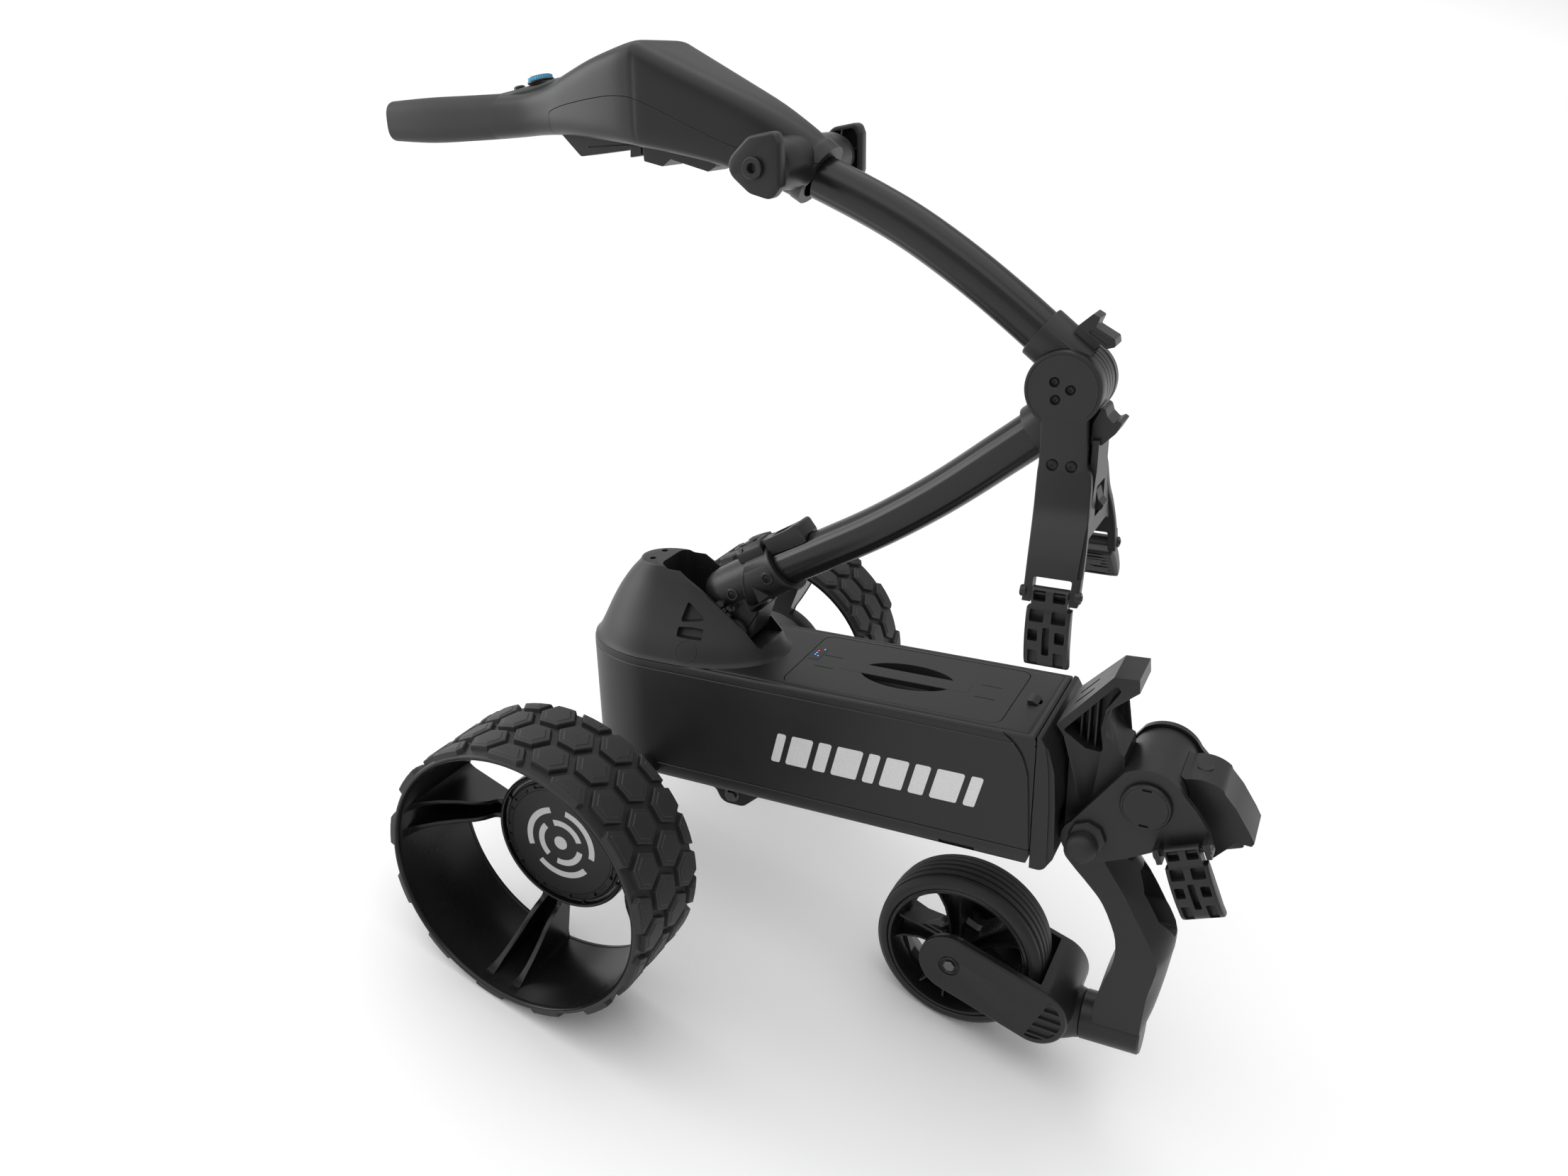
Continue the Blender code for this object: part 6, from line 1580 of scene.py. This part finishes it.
def leg():
    sections = []
    for z, back, corner, crown, half in curve_through(LEG_ROWS, 3):
        section = [Vector((back, -half, z))]
        for k in range(-6, 7):
            section.append(Vector((crown - (crown - corner) * (k / 6) ** 2, half * k / 6, z)))
        section.append(Vector((back, half, z)))
        sections.append(section)
    blade = loft("leg", sections)
    tube = [(0, SWIVEL.x + 0.0004), (SWIVEL_R - 0.0010, SWIVEL.x + 0.0004),
            (SWIVEL_R, SWIVEL.x + 0.0014), (SWIVEL_R, SWIVEL_END - 0.0020),
            (SWIVEL_R - 0.0020, SWIVEL_END), (0, SWIVEL_END)]
    join(blade, lathe("tube", tube, (0, 0, SWIVEL.z), (1, 0, 0), 80))
    window = rounded([(-0.0095, -0.0290, 0.003), (0.0095, -0.0290, 0.003), (0.0200, -0.0470, 0.004),
                      (0.0200, -0.0760, 0.004), (0.0075, -0.0970, 0.003), (-0.0075, -0.0970, 0.003),
                      (-0.0200, -0.0760, 0.004), (-0.0200, -0.0470, 0.004)], 0, 4)
    hole = prism("hole", window, 0.46, 0.60, "yz")
    pocket = rounded([(-0.0230, 0.0080, 0.003), (0.0230, 0.0080, 0.003), (0.0130, -0.0190, 0.003),
                      (-0.0130, -0.0190, 0.003)], 0, 4)
    upper = prism("upper", pocket, 0.4900, 0.60, "yz")
    cut(blade, hole, upper)
    soften(blade, 0.0012, 3, 45)
    dress(blade, "casting", "folding_leg", "leg", sharp=30)


def on_lower_pin(u, w):
    turn = math.radians(LOWER_PAD_TURN)
    return (LOWER_PIN.x + u * math.cos(turn) - w * math.sin(turn),
            LOWER_PIN.z + u * math.sin(turn) + w * math.cos(turn))


def leg_cheek(side, hand):
    px, pz = LEG_PIVOT.x, LEG_PIVOT.z
    outline = arc(px, pz, 0.0368, 28, 128, 16)
    outline += arc(0.4740, 0.0180, 0.0225, 128, 250, 16)
    outline += [(0.4900, -0.0020), (0.5160, 0.0100), (0.5400, 0.0240), (0.5900, 0.0440),
                (0.5860, 0.0560), (0.5720, 0.0760)]
    low, high = sorted((side * CHEEK_IN, side * CHEEK_OUT))
    plate = prism("leg_cheek_" + hand, outline, low, high)
    foot_low, foot_high = sorted((side * 0.0348, side * (CHEEK_IN + 0.001)))
    foot = prism("foot", rounded([(0.4560, -0.0020), (0.5000, -0.0020), (0.5000, 0.0280),
                                  (0.4600, 0.0300)], 0.004, 4), foot_low, foot_high)
    join(plate, foot)
    ears = []
    low, high = sorted((side * (CHEEK_OUT - 0.002), side * (LOWER_PIN.y + 0.0065)))
    for u in (-0.0255, 0.0205):
        corners = [on_lower_pin(u, -0.0075), on_lower_pin(u + 0.005, -0.0075),
                   on_lower_pin(u + 0.005, 0.0075), on_lower_pin(u, 0.0075)]
        ears.append(prism("ear", corners, low, high))
    join(plate, *ears)
    soften(plate, 0.0012, 3, 45)
    dress(plate, "casting", "folding_leg", "leg_cheek_" + hand)

    seat = lathe("bumper_seat_" + hand, [(0, CHEEK_OUT - 0.001), (0.0185, CHEEK_OUT - 0.001),
                                         (0.0178, CHEEK_OUT + 0.0044), (0.0160, CHEEK_OUT + 0.0054),
                                         (0, CHEEK_OUT + 0.0054)], (0.4770, 0, 0.0240), (0, side, 0), 8)
    soften(seat, 0.0006, 2)
    dress(seat, "casting", "folding_leg")
    dome_cap = [(0, CHEEK_OUT - 0.001), (0.0152, CHEEK_OUT - 0.001), (0.0152, 0.0650)]
    dome_cap += [(0.0152 * math.cos(a), 0.0650 + 0.0100 * math.sin(a)) for a in (0.3, 0.6, 0.9, 1.2)]
    dome_cap += [(0, 0.0748)]
    bumper = lathe("stop_bumper_" + hand, dome_cap, (0.4740, 0, 0.0170), (0, side, 0), 56)
    dress(bumper, "rubber", "folding_leg", "stop_bumper_" + hand, sharp=40)
    for k, u in enumerate((-0.0262, 0.0262)):
        x, z = on_lower_pin(u, 0)
        way = -1 if k == 0 else 1
        turn = math.radians(LOWER_PAD_TURN)
        head = lathe("lower_pin_head_%s_%d" % (hand, k),
                     [(0, -0.003), (0.0048, -0.003), (0.0048, 0.0004), (0.0042, 0.0010),
                      (0.0024, 0.0010), (0.0022, 0.0002), (0, 0.0002)],
                     (x, side * LOWER_PIN.y, z), (way * math.cos(turn), 0, way * math.sin(turn)), 28)
        dress(head, "steel", "folding_leg")


cradle()
bag_shelf()
leg()
for side, hand in ((-1, "right"), (1, "left")):
    leg_cheek(side, hand)


# -------------------------------------------------------------------- caster
def caster_fork():
    """Two broad arms either side of the wheel, blended into the swivel tube."""
    cx, cz = CASTER.x, CASTER.z
    ex, ez = FORK_END
    slope = math.degrees(math.atan2(ez - cz, ex - cx))
    outline = arc(cx, cz, FORK_END_R, slope + 90, slope + 270, 40)
    outline += arc(ex, ez, FORK_END_R, slope - 90, slope + 90, 40)
    fork = prism("caster_fork", outline, -FORK_HALF, FORK_HALF)
    soften(fork, 0.0030, 4, 50)
    settle(fork)
    # station, underside, top, half width, squareness
    blend = ((0.4380, -0.2420, -0.1745, 0.0480, 7.0), (0.4500, -0.2445, -0.1800, 0.0450, 5.0),
             (0.4600, -0.2485, -0.1880, 0.0390, 3.6), (0.4690, -0.2520, -0.1975, 0.0310, 2.6),
             (0.4740, SWIVEL.z - SWIVEL_R, SWIVEL.z + SWIVEL_R, SWIVEL_R + 0.001, 2.1),
             (SWIVEL.x - 0.0008, SWIVEL.z - SWIVEL_R, SWIVEL.z + SWIVEL_R, SWIVEL_R, 2.0),
             (SWIVEL.x, 0.0008 - SWIVEL_R + SWIVEL.z, SWIVEL_R - 0.0008 + SWIVEL.z, SWIVEL_R - 0.0008, 2.0))
    join(fork, loft("blend", [oval(*row, steps=64) for row in blend]))
    room = CASTER_R + 0.0040
    cut(fork, lathe("room", [(0, -FORK_GAP), (room, -FORK_GAP), (room, FORK_GAP), (0, FORK_GAP)],
                    CASTER, (0, 1, 0), 128))
    louvres = []
    for side in (-1, 1):
        low, high = sorted((side * (FORK_HALF - 0.0026), side * 0.06))
        area = prism("area", arc(ex, ez, FORK_END_R - 0.0065, slope - 90, slope + 90, 30), low, high)
        edge = [(ex - 0.07, ez - 0.06), (ex - 0.0260, ez - 0.06), (ex + 0.0340, ez + 0.06),
                (ex - 0.07, ez + 0.06)]
        slats = [prism("back", edge, -0.07, 0.07)]
        for k in range(-3, 3):
            z = ez - 0.0040 + 0.0112 * k
            slats.append(prism("slat", [(ex - 0.04, z + 0.0050), (ex + 0.05, z - 0.0020),
                                        (ex + 0.05, z + 0.0006), (ex - 0.04, z + 0.0076)],
                               low - 0.001, high + 0.001))
        cut(area, *slats)
        louvres.append(area)
        dish = [(0, FORK_HALF - 0.0014), (0.0118, FORK_HALF - 0.0014), (0.0122, 0.06), (0, 0.06)]
        louvres.append(lathe("dish", dish, CASTER, (0, side, 0), 56))
    cut(fork, *louvres)
    soften(fork, 0.0006, 2, 50)
    dress(fork, "casting", "caster", "caster_fork", sharp=40)

    nodes = ["caster_axle"]
    for side, hand in ((-1, "right"), (1, "left")):
        face = FORK_HALF - 0.0014
        ring = lathe("axle_ring_" + hand, [(0.0060, face), (0.0104, face), (0.0104, face + 0.0010),
                                           (0.0096, face + 0.0018), (0.0088, face + 0.0018),
                                           (0.0080, face + 0.0008), (0.0060, face + 0.0006)],
                     CASTER, (0, side, 0), 56)
        dress(ring, "gloss", "caster")
        nut = slab("axle_nut_" + hand, arc(0, 0, 0.0066, 10, 310, 5),
                   CASTER + Vector((0, side * face, 0)), (1, 0, 0), (0, 0, -side), 0.0026)
        soften(nut, 0.0007, 2)
        dress(nut, "steel", "caster", *nodes)
        nodes = []
    bolt = rod("axle_bolt", CASTER - Vector((0, FORK_HALF - 0.002, 0)),
               CASTER + Vector((0, FORK_HALF - 0.002, 0)), 0.0042, 24)
    dress(bolt, "steel", "caster")


def caster_wheel():
    """Ribbed tyre on a dished rim with five broad, flanged spokes."""
    half = CASTER_HALF
    tread = [(CASTER_BEAD, half - 0.0010), (CASTER_BEAD, 0.0010 - half), (0.0806, -half),
             (0.0846, -half - 0.0003), (0.0872, -half + 0.0010), (0.0890, -half * 0.90)]
    ribs, span = 6, half * 1.72
    y = -span / 2
    for k in range(ribs):
        middle = abs(y + span / ribs / 2) / (span / 2)
        crown = CASTER_R - 0.0030 * middle ** 2.4
        tread += [(crown - 0.0007, y + 0.0003), (crown, y + 0.0011), (crown, y + span / ribs - 0.0018),
                  (crown - 0.0007, y + span / ribs - 0.0010), (crown - 0.0022, y + span / ribs - 0.0007),
                  (crown - 0.0022, y + span / ribs - 0.0001)]
        y += span / ribs
    tread += [(0.0890, half * 0.90), (0.0872, half - 0.0010), (0.0846, half + 0.0003), (0.0806, half)]
    tyre = lathe("caster_tyre", tread, CASTER, (0, 1, 0), 144)
    dress(tyre, "tread", "caster_wheel", "caster_tyre", slot="rubber", sharp=28)

    lip = CASTER_BEAD - 0.0003
    ring = [(lip, half - 0.0020), (lip, 0.0020 - half), (lip - 0.0010, 0.0006 - half),
            (lip - 0.0026, -half - 0.0004), (lip - 0.0046, 0.0002 - half), (lip - 0.0060, 0.0026 - half),
            (0.0700, -0.0130), (0.0690, -0.0090), (0.0690, 0.0090), (0.0700, 0.0130),
            (lip - 0.0060, half - 0.0026), (lip - 0.0046, half - 0.0002), (lip - 0.0026, half + 0.0004),
            (lip - 0.0010, half - 0.0006)]
    rim = lathe("caster_rim", ring, CASTER, (0, 1, 0), 144)
    web = lathe("web", [(0.0100, -0.0050), (0.0700, -0.0050), (0.0700, 0.0050), (0.0100, 0.0050)],
                CASTER, (0, 1, 0), 72)
    windows = []
    for k in range(5):
        centre = WINDOW_ANGLE + 72 * k
        points = []
        for r, turn in ((0.0250, -19), (0.0672, -28), (0.0672, 0), (0.0672, 28), (0.0250, 19)):
            a = math.radians(centre + turn)
            points.append((CASTER.x + r * math.cos(a), CASTER.z + r * math.sin(a)))
        windows.append(prism("window", rounded(points, 0.006, 5), -0.02, 0.02))
    cut(web, *windows)
    join(rim, web)
    hub = [(0.0046, -0.0385), (0.0118, -0.0385), (0.0132, -0.0372), (0.0150, -0.0120),
           (0.0190, -0.0060), (0.0190, 0.0060), (0.0150, 0.0120), (0.0132, 0.0372), (0.0118, 0.0385),
           (0.0046, 0.0385)]
    join(rim, lathe("hub", hub, CASTER, (0, 1, 0), 64))
    for k in range(5):
        a = math.radians(WINDOW_ANGLE + 36 + 72 * k)
        outwards = Vector((math.cos(a), 0, math.sin(a)))
        across = Vector((-math.sin(a), 0, math.cos(a)))
        for wing in (-1, 1):
            sections = []
            # distance out, half depth, distance from the spoke's middle
            for r, y, w in ((0.0125, 0.0230, 0.0052), (0.0280, 0.0170, 0.0060), (0.0480, 0.0150, 0.0082),
                            (0.0640, 0.0170, 0.0118), (0.0725, 0.0200, 0.0160)):
                sections.append([CASTER + outwards * r + across * (wing * w + t) + Vector((0, yy, 0))
                                 for yy, t in ((-y, -0.0012), (-y, 0.0012), (y, 0.0012), (y, -0.0012))])
            join(rim, loft("flange", sections))
    soften(rim, 0.0005, 2, 50)
    dress(rim, "gloss", "caster_wheel", "caster_rim", sharp=34)


caster_fork()
caster_wheel()


# ------------------------------------------------------- camera, light, floor
def camera():
    yaw, pitch, roll = math.radians(26.30), math.radians(22.24), math.radians(1.09)
    ahead = Vector((-math.sin(yaw) * math.cos(pitch), math.cos(yaw) * math.cos(pitch),
                    -math.sin(pitch)))
    right = Vector((math.cos(yaw), math.sin(yaw), 0))
    down = ahead.cross(right)
    right, down = (math.cos(roll) * right + math.sin(roll) * down,
                   -math.sin(roll) * right + math.cos(roll) * down)
    turn = Matrix((right, -down, -ahead)).transposed().to_4x4()
    data = bpy.data.cameras.new("camera")
    data.sensor_width = 36.0
    data.lens = 28.74
    data.clip_end = 2000.0
    view = bpy.data.objects.new("camera", data)
    bpy.context.scene.collection.objects.link(view)
    view.matrix_world = TROLLEY @ Matrix.Translation((0.6708, -1.0874, 0.7006)) @ turn
    bpy.context.scene.camera = view


def softbox(name, at, size, power, target=(0.15, 0, 0.2)):
    data = bpy.data.lights.new(name, "AREA")
    data.shape = "RECTANGLE"
    data.size, data.size_y = size
    data.energy = power
    lamp = bpy.data.objects.new(name, data)
    bpy.context.scene.collection.objects.link(lamp)
    aim = Vector(target) - Vector(at)
    lamp.matrix_world = TROLLEY @ Matrix.Translation(at) @ aim.to_track_quat("-Z", "Y").to_matrix(
    ).to_4x4()
    return lamp


def studio():
    bpy.ops.mesh.primitive_plane_add(size=1200)
    floor = bpy.context.object
    floor.name = "floor"
    mat, tree, shader = shader_nodes("pale floor")
    grain = add_node(tree, "ShaderNodeTexNoise", in_Scale=30.0, in_Detail=4.0)
    gloss = add_node(tree, "ShaderNodeMapRange")
    gloss.inputs["To Min"].default_value = 0.75
    gloss.inputs["To Max"].default_value = 0.9
    tree.links.new(grain.outputs["Fac"], gloss.inputs["Value"])
    tree.links.new(gloss.outputs["Result"], shader.inputs["Roughness"])
    shader.inputs["Base Color"].default_value = (0.94, 0.94, 0.94, 1)
    floor.data.materials.append(mat)

    world = bpy.data.worlds.new("studio")
    world.use_nodes = True
    tree = world.node_tree
    place = add_node(tree, "ShaderNodeTexCoord")
    parts = add_node(tree, "ShaderNodeSeparateXYZ")
    fade = add_node(tree, "ShaderNodeMapRange")
    fade.inputs["From Min"].default_value = 0.03
    fade.inputs["From Max"].default_value = 0.16
    fade.inputs["To Min"].default_value = 1.0
    fade.inputs["To Max"].default_value = 0.50
    tree.nodes["Background"].inputs["Color"].default_value = (1, 1, 1, 1)
    tree.links.new(place.outputs["Generated"], parts.inputs["Vector"])
    tree.links.new(parts.outputs["Z"], fade.inputs["Value"])
    tree.links.new(fade.outputs["Result"], tree.nodes["Background"].inputs["Strength"])
    bpy.context.scene.world = world

    data = bpy.data.lights.new("overhead", "SUN")
    data.energy = 2.2
    data.angle = math.radians(100)
    sun = bpy.data.objects.new("overhead", data)
    bpy.context.scene.collection.objects.link(sun)
    sun.matrix_world = Vector((0.50, 0.05, -1.0)).to_track_quat("-Z", "Y").to_matrix().to_4x4()
    softbox("left", (-1.6, -0.5, 0.9), (1.0, 1.4), 16)
    bpy.context.scene.view_settings.view_transform = "Standard"


camera()
studio()
